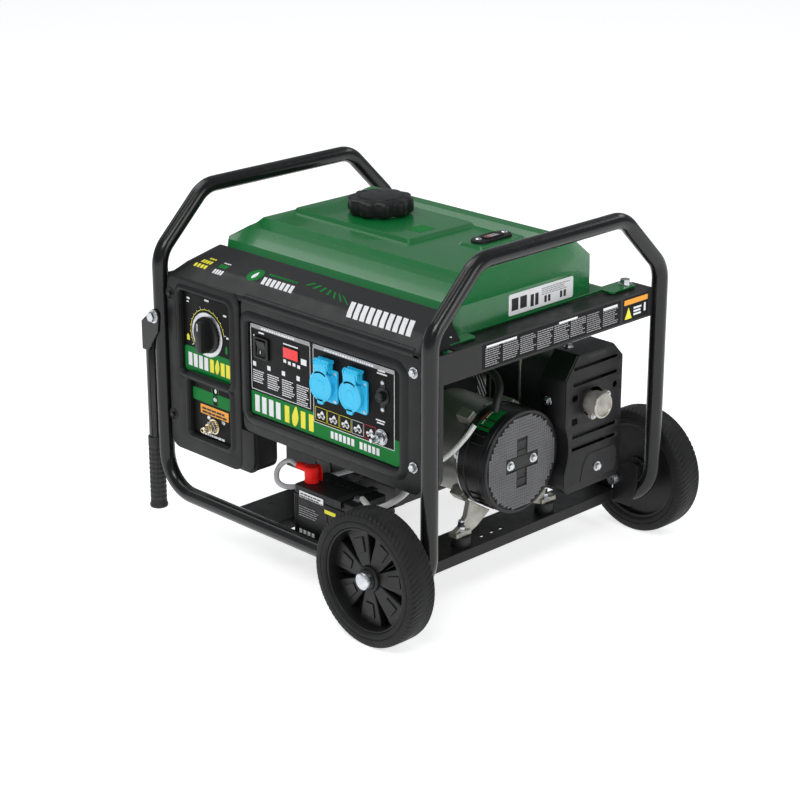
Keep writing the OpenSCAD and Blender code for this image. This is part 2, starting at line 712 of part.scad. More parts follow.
// Hose nipple for bottled gas
module gas_inlet() color("silver") translate([gas_at[0], label_face, gas_at[1]]) rotate([90, 0, 0])
  rotate_extrude() polygon([
    [0, -22], [gas_r, -22], [gas_r, 0], [10, 0], [10, 5], [6, 5], [6, 10], [8, 10], [8, 13], [4, 13],
    [4, 15], [5, 16], [4, 20], [5, 21], [4, 25], [2.5, 25], [2.5, 2], [0, 2]]);

module panel_bolts() color("silver") for (p = flange_bolts) {
  translate([p[0], face_y, p[1]]) rotate([90, 0, 0]) bolt_head(6);
  rod_y(face_y - 1, tab_y + 6, p[0], p[1], 3);
}

// --- Battery ---

module battery_tray() color("#1b1c1e") {
  difference() {
    block([-20, -240, battery_z - plate], [126, battery_y + battery_w + 6, battery_z]);
    floor_tubes();
  }
  block([-20, battery_y + battery_w + 0.5, battery_z], [126, battery_y + battery_w + 3.5, battery_z + 40]);
  block([left_member[1], battery_y + 40, battery_z - plate], [-20, battery_y + battery_w, battery_z]);
  top = battery_z + battery_h;
  block([strap_x, battery_y - 2.5, top], [strap_x + 14, battery_y + battery_w + 3.5, top + 2]);
  block([strap_x, battery_y - 2.5, top - 10], [strap_x + 14, battery_y - 0.3, top]);
  block([strap_x, battery_y + battery_w + 0.5, battery_z + 40],
        [strap_x + 14, battery_y + battery_w + 3.5, top]);
}

module battery() color("#2a2b2d") translate([battery_x, battery_y, battery_z]) {
  cube([battery_l, battery_w, battery_h - 14]);
  translate([1.5, 1.5, battery_h - 14]) cube([battery_l - 3, battery_w - 3, 14]);
  for (x = [8, battery_l - 22]) translate([x, 17, battery_h]) cube([14, 14, 5]);
}

// Rubber boot over the left terminal, with a spout for the lead
module terminal_boot() color("#e02020") translate([battery_x + 15, battery_y + 24, battery_z + battery_h])
  difference() {
    union() {
      cylinder(h = 26, r = 11);
      translate([0, 0, 20]) rotate([0, -90, 6]) cylinder(h = 28, r = 6.5);
    }
    translate([-7.1, -7.1, -1]) cube([14.2, 14.2, 6.1]);
  }

module wiring() color("#9a9da0") {
  lead(boot_lead, 4);
  lead(engine_lead, 4.5);
  lead(loom, 6);
  lead(sleeve, 4);
}

// --- Engine ---

module crankcase() color("#26272a") difference() {
  union() {
    in_yz(case_x[0], case_x[1]) polygon([[-78, engine_base], [78, engine_base], [96, 130], [96, 250],
      [60, 292], [-50, 292], [-84, 262], [-84, 120]]);
    rod_x(case_x[1], stator_x, 0, crank_z, 66);
  }
  rod_x(case_x[0] - 1, case_x[1] + 30, 0, crank_z, shaft_r + 1);
  rod_y(-90, -50, -20, 128, 9);
}

// Inclined finned barrel with its head and valve cover
module cylinder_block() translate([head_x, 96, 200]) rotate([-65, 0, 0]) {
  cylinder(h = 64, r = 40);
  for (i = [0:5]) translate([-head_half, -58, 12 + i * 9]) cube([2 * head_half, 116, 3.5]);
  translate([-head_half, -56, 62]) cube([2 * head_half, 112, 26]);
  translate([-42, -44, 88]) cube([84, 88, 22]);
}
module cylinder_and_head() color("#8b8e90") intersection() {
  cylinder_block();
  block([-200, 96, 60], [200, 240, 370]);
}

module recoil_housing() color("#1b1c1e") difference() {
  union() {
    rod_x(-196, case_x[0], 0, crank_z, 98);
    translate([-196, 0, crank_z]) rotate([0, -90, 0]) cylinder(h = 34, r1 = 88, r2 = 76);
    block([-190, -84, engine_base], [case_x[0], 84, crank_z]);
  }
  rod_x(-190, case_x[0] + 1, 0, crank_z, 94);
  rod_x(-222, -189, 0, crank_z, 66);
  for (i = [0:11]) translate([0, 0, crank_z]) rotate([i * 30, 0, 0]) block([-240, -3, 30], [-218, 3, 60]);
  rod_x(-240, -215, -62, crank_z - 4, 6);
}

module recoil_grip() color("#141414") {
  translate([-230.3, -62, crank_z - 4]) rotate([0, -90, 0]) cylinder(h = 17, r1 = 8, r2 = 9);
  block([-262, -96, crank_z - 13], [-246, -28, crank_z + 5]);
}

module rotor() color("#a8aaac") {
  rod_x(-214, 236, 0, crank_z, shaft_r);
  rod_x(stator_x + 12, stator_x + 76, 0, crank_z, 44);
  rod_x(-158, -140, 0, crank_z, 88);
  rod_x(-214, -196, 0, crank_z, 58);
}

module oil_dipstick() color("#1a1a1a") {
  rod_y(-100, -84.3, -20, 128, 13);
  rod_y(-84.3, -56, -20, 128, 8.9);
}

// --- Alternator ---

module stator_housing() color("#77797a") difference() {
  union() {
    rod_x(stator_x, bell_x, 0, crank_z, stator_r);
    for (a = [45, 135, 225, 315]) translate([0, 0, crank_z]) rotate([a, 0, 0])
      block([stator_x, -10, stator_r - 6], [bell_x, 10, stator_r + 8]);
  }
  rod_x(stator_x - 1, bell_x + 1, 0, crank_z, 46);
}

module end_bell() color("#17181a") difference() {
  rod_x(bell_x, cover_x - 4, 0, crank_z, cover_r);
  rod_x(bell_x - 1, cover_x - 8, 0, crank_z, cover_r - 6);
  rod_x(bell_x, cover_x, 0, crank_z, shaft_r + 1);
  for (i = [0:7]) translate([0, 0, crank_z]) rotate([i * 45 + 10, 0, 0])
    block([bell_x + 16, -12, 60], [cover_x - 14, 12, 90]);
}

module end_cover() color("#4a4c4e") {
  rod_x(cover_x - 4, cover_x + 3, 0, crank_z, cover_r - 1);
  for (s = [-1, 1]) translate([cover_x + 3, s * 25, crank_z]) rotate([0, 90, 0]) bolt_head(5.5);
}

module alternator_foot() color("#a6a399") difference() {
  for (s = [-1, 1]) in_yz(198, 212) polygon([[s * 50, 132], [s * 34, 118], [s * 80, foot_z],
    [s * 108, foot_z], [s * 108, 104], [s * 92, 112], [s * 76, 148]]);
  rod_x(190, 220, 0, crank_z, cover_r + 0.3);
  for (s = [-1, 1]) translate([205, s * 92, 80]) cylinder(h = 60, r = 5);
  block([shield_x - 0.5, 70, 120], [220, 110, 150]);
}

// Rubber mounts with their studs, under the crankcase and under the alternator foot
module engine_mounts() color("#2a2a2a") for (p = mount_at) translate([p[0], p[1], 0]) {
  top = p[0] > 0 ? foot_z : engine_base;
  difference() {
    translate([0, 0, member_top]) cylinder(h = top - member_top, r = 15);
    translate([0, 0, member_top - 1]) cylinder(h = 40, r = 4.9);
  }
  translate([0, 0, member_top - plate]) cylinder(h = top - member_top + (p[0] > 0 ? 24 : plate), r = 4.9);
}

// --- Intake and exhaust ---

module air_filter() color("#17181a") in_yz(-196, -116) soft_rect([112, 196], [218, 330], 14);

module carburettor() color("#9a9c9e") {
  rod_x(-116, -110, 160, 236, 16);
  difference() {
    block([-110, 142, 212], [head_x - head_half, 184, 262]);
    rod_y(150, 190, choke_at[0], choke_at[1], 3 + fit_gap);
  }
}

module choke_lever() color("#c8c8c8") {
  rod_y(160, 184.5, choke_at[0], choke_at[1], 3);
  in_xz(184.3, 187) {
    translate([choke_at[0] - 3.5, choke_at[1]]) square([7, 28]);
    translate(choke_at) circle(6);
  }
}

module muffler() color("#3a3b3d") {
  in_yz(76, 236) soft_rect([88, 176], [190, 326], 22);
  rod_x(head_x + head_half, 76, 160, 240, 12);
}

// Outline of the heat shield, drawn smaller by t on every side
module shield_face(t) polygon([
  [75 + t, 132 + t / 2], [84 + t / 2, 122 + t], [198 - t / 2, 122 + t], [205 - t, 132 + t / 2],
  [205 - t, 318 - t / 2], [184 - t / 2, 340 - t], [102 + t / 2, 340 - t], [75 + t, 304 - t / 2]]);

module muffler_shield() color("#1f2022") difference() {
  in_yz(shield_x, 258) shield_face(0);
  in_yz(shield_x - 1, 255.5) shield_face(2.5);
  rod_x(shield_x - 1, 250, 0, crank_z, cover_r + 4);
  rod_x(250, 270, 137, 259, 24);
  for (z = [320, 295, 212, 192]) in_yz(254, 260) soft_rect([92, z - 3], [192, z + 3], 2.9);
  for (z = [273, 236]) in_yz(254, 260) soft_rect([90, z - 5], [103, z + 5], 3);
  rod_x(250, 270, 188, 274, 5);
}

module exhaust_outlet() color("#b9b4a6") {
  rod_x(236, 262, 137, 259, 17);
  difference() {
    rod_x(262, 284, 133, 259, 20);
    rod_x(270, 285, 133, 259, 16);
  }
  for (a = [40, 220]) translate([278, 133, 259]) rotate([a, 0, 0])
    translate([0, 21, 0]) rotate([0, 90, 0]) bolt_head(3.4);
}

left_hoop();
right_hoop();
bottom_tubes();
side_rails();
left_cross_member();
right_cross_member();
support_leg();
leg_feet();
axle_bolts();
axle_clips();
front_tyre();
front_rim();
rear_tyre();
rear_rim();
front_handle();
front_grip();
rear_handle();
rear_grip();
handle_pivot_bolts();
tank_shell();
tank_base();
filler_neck();
cap_gasket();
fuel_cap();
fuel_gauge();
float_arm();
tank_bolts();
control_panel();
label_plates();
selector_knob();
start_rocker();
socket_bases();
socket_lid_1();
socket_lid_2();
breaker_button();
ground_stud();
ground_nut();
gas_inlet();
panel_bolts();
battery_tray();
battery();
terminal_boot();
wiring();
crankcase();
cylinder_and_head();  // cylinder
recoil_housing();
recoil_grip();
rotor();
stator_housing();
end_bell();
end_cover();
alternator_foot();
engine_mounts();
air_filter();
carburettor();
choke_lever();
oil_dipstick();
muffler();
muffler_shield();
exhaust_outlet();
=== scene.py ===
import math
import random

import bmesh
import bpy
from mathutils import Matrix, Vector


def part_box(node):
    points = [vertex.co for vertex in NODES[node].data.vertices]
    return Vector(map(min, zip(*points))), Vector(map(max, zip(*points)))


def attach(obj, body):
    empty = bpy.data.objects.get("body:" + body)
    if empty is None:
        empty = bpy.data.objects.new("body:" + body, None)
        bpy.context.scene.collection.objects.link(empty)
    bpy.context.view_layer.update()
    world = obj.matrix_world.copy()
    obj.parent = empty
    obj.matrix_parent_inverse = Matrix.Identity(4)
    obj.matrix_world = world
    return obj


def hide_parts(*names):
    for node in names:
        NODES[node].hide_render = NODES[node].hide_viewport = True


# Lengths are in millimetres until a piece is made, which scales them by MM. Only the camera, the lights
# and the floor are placed in metres.
MM = 0.001
UP = (0, 0, 1)
RIGHT = (1, 0, 0)
LEFT = (-1, 0, 0)
FRONT = (0, -1, 0)        # the way that the panel faces
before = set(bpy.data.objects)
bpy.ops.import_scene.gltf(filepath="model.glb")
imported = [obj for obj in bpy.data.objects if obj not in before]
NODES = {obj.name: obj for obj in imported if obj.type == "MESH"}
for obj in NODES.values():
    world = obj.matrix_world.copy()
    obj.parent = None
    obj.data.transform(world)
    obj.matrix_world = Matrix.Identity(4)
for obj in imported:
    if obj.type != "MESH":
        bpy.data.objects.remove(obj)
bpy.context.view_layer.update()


def centre_mm(node):
    low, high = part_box(node)
    return (low + high) / 2 / MM


def low_mm(node):
    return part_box(node)[0] / MM


def high_mm(node):
    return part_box(node)[1] / MM


# ---------------------------------------------------------------- camera, light and floor

AIM = Vector((-0.0162, 0.0, 0.2249))
AZIMUTH = math.radians(45.325)
ELEVATION = math.radians(20.046)
DISTANCE = 3.3673
LENS = 97.56
SENSOR = 36
LIGHT_TARGET = Vector((0, 0, 0.25))
LIGHTS = {  # name: (place, size, watts)
    "key": ((1.6, -2.2, 2.9), (1.6, 1.2), 40),
    "front_left": ((-2.4, -0.2, 2.7), (1.5, 1.8), 16),
    "right": ((3.0, 0.2, 1.2), (1.2, 1.6), 20),
    "top": ((-0.6, -0.6, 3.0), (2.0, 1.6), 22),
    "back": ((0.6, 3.0, 2.4), (2.0, 0.7), 10),
}
BACKDROP_WHITE = (1, 1, 1, 1)
DOME_COLOUR = (0.94, 0.97, 1.0, 1)
DOME_STRENGTH = 0.3
FLOOR_HALF = 12.0
FLOOR_PAPER = {
    "Base Color": (0.8, 0.8, 0.805, 1),
    "Roughness": 0.9,
    "Specular IOR Level": 0.1,
    "Emission Color": (1, 1, 1, 1),
    "Emission Strength": 0.7,
}


def add_object(name, data):
    thing = bpy.data.objects.new(name, data)
    bpy.context.scene.collection.objects.link(thing)
    return thing


def look_along(thing, direction):
    thing.rotation_mode = "QUATERNION"
    thing.rotation_quaternion = direction.to_track_quat("-Z", "Y")


def add_camera():
    back = Vector((math.sin(AZIMUTH) * math.cos(ELEVATION), -math.cos(AZIMUTH) * math.cos(ELEVATION),
                   math.sin(ELEVATION)))
    camera = add_object("camera", bpy.data.cameras.new("camera"))
    camera.data.lens = LENS
    camera.data.sensor_width = SENSOR
    camera.location = AIM + back * DISTANCE
    look_along(camera, -back)
    bpy.context.scene.camera = camera


def add_lights():
    for name, (place, size, watts) in LIGHTS.items():
        light = bpy.data.lights.new(name, "AREA")
        light.shape = "RECTANGLE"
        light.size, light.size_y = size
        light.energy = watts
        lamp = add_object(name, light)
        lamp.location = place
        look_along(lamp, LIGHT_TARGET - Vector(place))


def add_node(tree, kind, values=None, links=None):
    """Adds a shader node, gives its sockets their values and links other nodes' outputs to its sockets."""
    node = tree.nodes.new("ShaderNode" + kind)
    for socket, value in (values or {}).items():
        node.inputs[socket].default_value = value
    for socket, source in (links or {}).items():
        tree.links.new(source, node.inputs[socket])
    return node


def add_world():
    """Plain white behind the object, and a softer grey dome for what the object reflects."""
    world = bpy.data.worlds.new("studio")
    bpy.context.scene.world = world
    world.use_nodes = True
    tree = world.node_tree
    tree.nodes.clear()
    seen = add_node(tree, "Background", {"Color": BACKDROP_WHITE, "Strength": 1.0})
    dome = add_node(tree, "Background", {"Color": DOME_COLOUR, "Strength": DOME_STRENGTH})
    path = add_node(tree, "LightPath")
    mix = add_node(tree, "MixShader", links={"Fac": path.outputs["Is Camera Ray"], 1: dome.outputs[0],
                                             2: seen.outputs[0]})
    add_node(tree, "OutputWorld", links={"Surface": mix.outputs[0]})


def add_floor():
    mesh = bpy.data.meshes.new("floor")
    corners = [(x * FLOOR_HALF, y * FLOOR_HALF, 0) for x, y in ((-1, -1), (1, -1), (1, 1), (-1, 1))]
    mesh.from_pydata(corners, [], [(0, 1, 2, 3)])
    floor = add_object("floor", mesh)
    paper = bpy.data.materials.new("floor_paper")
    paper.use_nodes = True
    for socket, value in FLOOR_PAPER.items():
        paper.node_tree.nodes["Principled BSDF"].inputs[socket].default_value = value
    mesh.materials.append(paper)


add_camera()
add_world()
add_floor()
add_lights()
bpy.context.scene.view_settings.view_transform = "Standard"


# ---------------------------------------------------------------- materials

NOISE_LOW, NOISE_HIGH = 0.3, 0.7   # nearly all of a noise lies between these
COAT_ROUGHNESS = 0.06
WORN_GREY = (0.3, 0.3, 0.3)
DUST_COLOUR = (0.28, 0.27, 0.25)


def noise_height(tree, scale, detail, where):
    return add_node(tree, "TexNoise", {"Scale": scale, "Detail": detail}, {"Vector": where}).outputs["Fac"]


def spread(tree, source, low, high):
    """Maps a noise to values from low to high."""
    limits = {"From Min": NOISE_LOW, "From Max": NOISE_HIGH, "To Min": low, "To Max": high}
    return add_node(tree, "MapRange", limits, {"Value": source}).outputs["Result"]


def blend_colour(tree, first, factor, second):
    mix = tree.nodes.new("ShaderNodeMix")
    mix.data_type = "RGBA"
    tree.links.new(factor, mix.inputs["Factor"])
    tree.links.new(first, mix.inputs[6])
    mix.inputs[7].default_value = (*second, 1)
    return mix.outputs[2]


def mottled(tree, colour, tint, patches):
    """The colour, a share of tint darker and lighter in patches."""
    ramp = add_node(tree, "ValToRGB", links={"Fac": patches})
    shades = ((NOISE_LOW, 1 - tint), (NOISE_HIGH, 1 + tint))
    for element, (position, shade) in zip(ramp.color_ramp.elements, shades):
        element.position = position
        element.color = (*[min(1, c * shade) for c in colour], 1)
    return ramp.outputs["Color"]


def worn_edges(tree, geometry, paint, wear):
    edge = add_node(tree, "MapRange", {"From Min": 0.52, "From Max": 0.62, "To Max": wear},
                    {"Value": geometry.outputs["Pointiness"]})
    return blend_colour(tree, paint, edge.outputs["Result"], WORN_GREY)


def dusty_tops(tree, geometry, paint, dust, patches):
    split = add_node(tree, "SeparateXYZ", links={"Vector": geometry.outputs["Normal"]})
    up = add_node(tree, "MapRange", {"From Min": 0.5, "To Max": dust}, {"Value": split.outputs["Z"]})
    cover = add_node(tree, "Math", links={0: up.outputs["Result"], 1: spread(tree, patches, 0.3, 1.0)})
    cover.operation = "MULTIPLY"
    return blend_colour(tree, paint, cover.outputs["Value"], DUST_COLOUR)


def coating(name, colour, rough, metal=0.0, coat=0.0, grain=1500, depth=0.04, patch=30, tint=0.12,
            rough_spread=0.06, dust=0.0, wear=0.0, stretch=(1, 1, 1), specular=0.5):
    """A procedural finish. grain and patch are noise scales per metre, depth is the bump's height in mm,
    dust lightens what faces up, and wear lightens convex edges."""
    material = bpy.data.materials.new(name)
    material.use_nodes = True
    tree = material.node_tree
    surface = tree.nodes["Principled BSDF"]
    surface.inputs["Metallic"].default_value = metal
    surface.inputs["Coat Weight"].default_value = coat
    surface.inputs["Coat Roughness"].default_value = COAT_ROUGHNESS
    surface.inputs["Specular IOR Level"].default_value = specular
    place = add_node(tree, "TexCoord")
    mapping = add_node(tree, "Mapping", {"Scale": stretch}, {"Vector": place.outputs["Object"]})
    where = mapping.outputs["Vector"]

    patches = noise_height(tree, patch, 4, where)
    geometry = tree.nodes.new("ShaderNodeNewGeometry")
    paint = mottled(tree, colour, tint, patches)
    if wear > 0:
        paint = worn_edges(tree, geometry, paint, wear)
    if dust > 0:
        paint = dusty_tops(tree, geometry, paint, dust, patches)
    tree.links.new(paint, surface.inputs["Base Color"])

    smudge = noise_height(tree, patch * 2.3, 5, where)
    smooth, dull = max(0.03, rough - rough_spread), rough + rough_spread
    tree.links.new(spread(tree, smudge, smooth, dull), surface.inputs["Roughness"])
    bump = add_node(tree, "Bump", {"Distance": depth * MM, "Strength": 1.0},
                    {"Height": noise_height(tree, grain, 3, where)})
    tree.links.new(bump.outputs["Normal"], surface.inputs["Normal"])
    return material


RECIPES = {
    "gloss_black": dict(colour=(0.006, 0.0062, 0.0068), rough=0.22, coat=0.2, specular=0.3, grain=300,
                        depth=0.012, wear=0.05, dust=0.02),
    "powder_black": dict(colour=(0.008, 0.008, 0.0088), rough=0.38, specular=0.26, grain=1600, depth=0.05,
                         dust=0.03, wear=0.04),
    "panel_black": dict(colour=(0.013, 0.0133, 0.014), rough=0.4, grain=2200, depth=0.04, patch=18,
                        tint=0.08, specular=0.22),
    "moulded_black": dict(colour=(0.008, 0.008, 0.0088), rough=0.38, specular=0.32, grain=1800, depth=0.04),
    "deep_black": dict(colour=(0.004, 0.004, 0.0045), rough=0.5, grain=900, depth=0.04),
    "label_black": dict(colour=(0.0038, 0.0038, 0.0042), rough=0.4, grain=500, depth=0.008, tint=0.05,
                        specular=0.12),
    "rubber": dict(colour=(0.013, 0.013, 0.0135), rough=0.62, grain=900, depth=0.08, tint=0.2, dust=0.04),
    "tyre": dict(colour=(0.01, 0.01, 0.0105), rough=0.6, specular=0.22, grain=700, depth=0.1, tint=0.22,
                 dust=0.05, wear=0.05),
    "tank_green": dict(colour=(0.004, 0.15, 0.034), rough=0.26, coat=0.25, grain=260, depth=0.01, patch=8,
                       tint=0.05, rough_spread=0.03),
    "label_green": dict(colour=(0.002, 0.185, 0.03), rough=0.4, specular=0.12, grain=600, depth=0.01,
                        tint=0.04),
    "print_white": dict(colour=(0.84, 0.85, 0.86), rough=0.5, specular=0.1, grain=900, depth=0.01,
                        tint=0.06),
    "print_grey": dict(colour=(0.36, 0.36, 0.37), rough=0.4, grain=900, depth=0.01, tint=0.15),
    "print_yellow": dict(colour=(0.85, 0.78, 0.02), rough=0.4, grain=900, depth=0.01, tint=0.05),
    "print_orange": dict(colour=(0.9, 0.36, 0.012), rough=0.4, grain=900, depth=0.01, tint=0.05),
    "print_red": dict(colour=(0.6, 0.012, 0.012), rough=0.4, grain=900, depth=0.01, tint=0.08),
    "display_red": dict(colour=(1.0, 0.02, 0.022), rough=0.3, coat=0.1, grain=700, depth=0.01, tint=0.12),
    "socket_blue": dict(colour=(0.025, 0.56, 0.9), rough=0.4, grain=1200, depth=0.02, tint=0.04, coat=0.1),
    "zinc": dict(colour=(0.56, 0.58, 0.6), rough=0.3, metal=1.0, grain=900, depth=0.03, tint=0.15,
                 patch=120),
    "brass": dict(colour=(0.72, 0.62, 0.42), rough=0.25, metal=1.0, grain=800, depth=0.02),
    "cast_metal": dict(colour=(0.36, 0.352, 0.31), rough=0.45, metal=0.55, grain=650, depth=0.25, patch=45,
                       tint=0.25, rough_spread=0.12),
    "stator_metal": dict(colour=(0.17, 0.167, 0.145), rough=0.36, metal=0.35, grain=800, depth=0.05,
                         patch=14, tint=0.2, stretch=(1, 0.2, 0.2)),
    "cylinder_metal": dict(colour=(0.26, 0.265, 0.27), rough=0.5, metal=0.8, grain=520, depth=0.2,
                           tint=0.2),
    "dark_casting": dict(colour=(0.016, 0.016, 0.018), rough=0.5, grain=500, depth=0.2, tint=0.2,
                         dust=0.03),
    "grille_grey": dict(colour=(0.1, 0.1, 0.104), rough=0.5, grain=1200, depth=0.04),
    "heat_steel": dict(colour=(0.44, 0.42, 0.38), rough=0.4, metal=0.6, grain=500, depth=0.12, patch=60,
                       tint=0.3),
    "muffler_black": dict(colour=(0.022, 0.022, 0.024), rough=0.55, grain=700, depth=0.1, tint=0.2),
    "boot_red": dict(colour=(0.92, 0.014, 0.01), rough=0.45, specular=0.2, grain=900, depth=0.04, tint=0.1),
    "sheath_grey": dict(colour=(0.4, 0.4, 0.41), rough=0.42, grain=1400, depth=0.06, tint=0.1),
    "sheath_white": dict(colour=(0.72, 0.72, 0.7), rough=0.5, grain=1800, depth=0.12, tint=0.1),
    "hose_black": dict(colour=(0.012, 0.012, 0.012), rough=0.5, grain=1100, depth=0.06),
    "battery_black": dict(colour=(0.009, 0.009, 0.0098), rough=0.45, specular=0.3, grain=1500, depth=0.06),
}
FINISHES = {name: coating(name, **recipe) for name, recipe in RECIPES.items()}


# ---------------------------------------------------------------- mesh helpers

PLANES = {"xy": (0, 1, 2), "xz": (0, 2, 1), "yz": (1, 2, 0)}


def in_plane(plane, u, v, w):
    point = [0, 0, 0]
    a, b, c = PLANES[plane]
    point[a], point[b], point[c] = u, v, w
    return Vector(point)


def round_rect(low, high, radius, steps=6):
    points = []
    for cx, cy, start in ((high[0] - radius, high[1] - radius, 0), (low[0] + radius, high[1] - radius, 90),
                          (low[0] + radius, low[1] + radius, 180), (high[0] - radius, low[1] + radius, 270)):
        for i in range(steps + 1):
            a = math.radians(start + 90 * i / steps)
            points.append((cx + radius * math.cos(a), cy + radius * math.sin(a)))
    return points


def inset_rect(low, high, inset, radius, steps=6):
    return round_rect((low[0] + inset, low[1] + inset), (high[0] - inset, high[1] - inset), radius, steps)


def layers(plane, sections):
    """Rows of points from outlines at their heights over a plane: each section is (outline, height)."""
    return [[in_plane(plane, u, v, w) for u, v in outline] for outline, w in sections]


def circle(centre, radius, steps=40, start=0.0):
    return [(centre[0] + radius * math.cos(start + math.tau * i / steps),
             centre[1] + radius * math.sin(start + math.tau * i / steps)) for i in range(steps)]


def ease(low, high, value):
    """0 below low, 1 above high, and a straight ramp with soft ends between them."""
    t = min(1.0, max(0.0, (value - low) / (high - low)))
    return 0.7 * t + 0.3 * t * t * (3 - 2 * t)


def filleted(corners, radii, steps=10):
    """A path through 3-D corners, each rounded to its radius."""
    points = [Vector(corners[0])]
    for before, corner, after, radius in zip(corners, corners[1:], corners[2:], radii):
        before, corner, after = Vector(before), Vector(corner), Vector(after)
        a, b = (before - corner).normalized(), (after - corner).normalized()
        half = a.angle(b) / 2
        reach = radius / math.tan(half)
        middle = corner + (a + b).normalized() * (radius / math.sin(half))
        first, last = corner + a * reach - middle, corner + b * reach - middle
        sweep_angle = first.angle(last)
        axis = first.cross(last).normalized()
        for i in range(steps + 1):
            points.append(middle + Matrix.Rotation(sweep_angle * i / steps, 3, axis) @ first)
    points.append(Vector(corners[-1]))
    return [a for a, b in zip(points, points[1:]) if (a - b).length > 0.01] + [points[-1]]


def smooth_path(points):
    """A Catmull-Rom curve through the points."""
    steps = 6
    p = [Vector(q) for q in points]
    p = [2 * p[0] - p[1], *p, 2 * p[-1] - p[-2]]
    out = []
    for a, b, c, d in zip(p, p[1:], p[2:], p[3:]):
        for i in range(steps):
            t = i / steps
            out.append(0.5 * (2 * b + (c - a) * t + (2 * a - 5 * b + 4 * c - d) * t * t
                              + (3 * b - a - 3 * c + d) * t ** 3))
    out.append(p[-2])
    return out


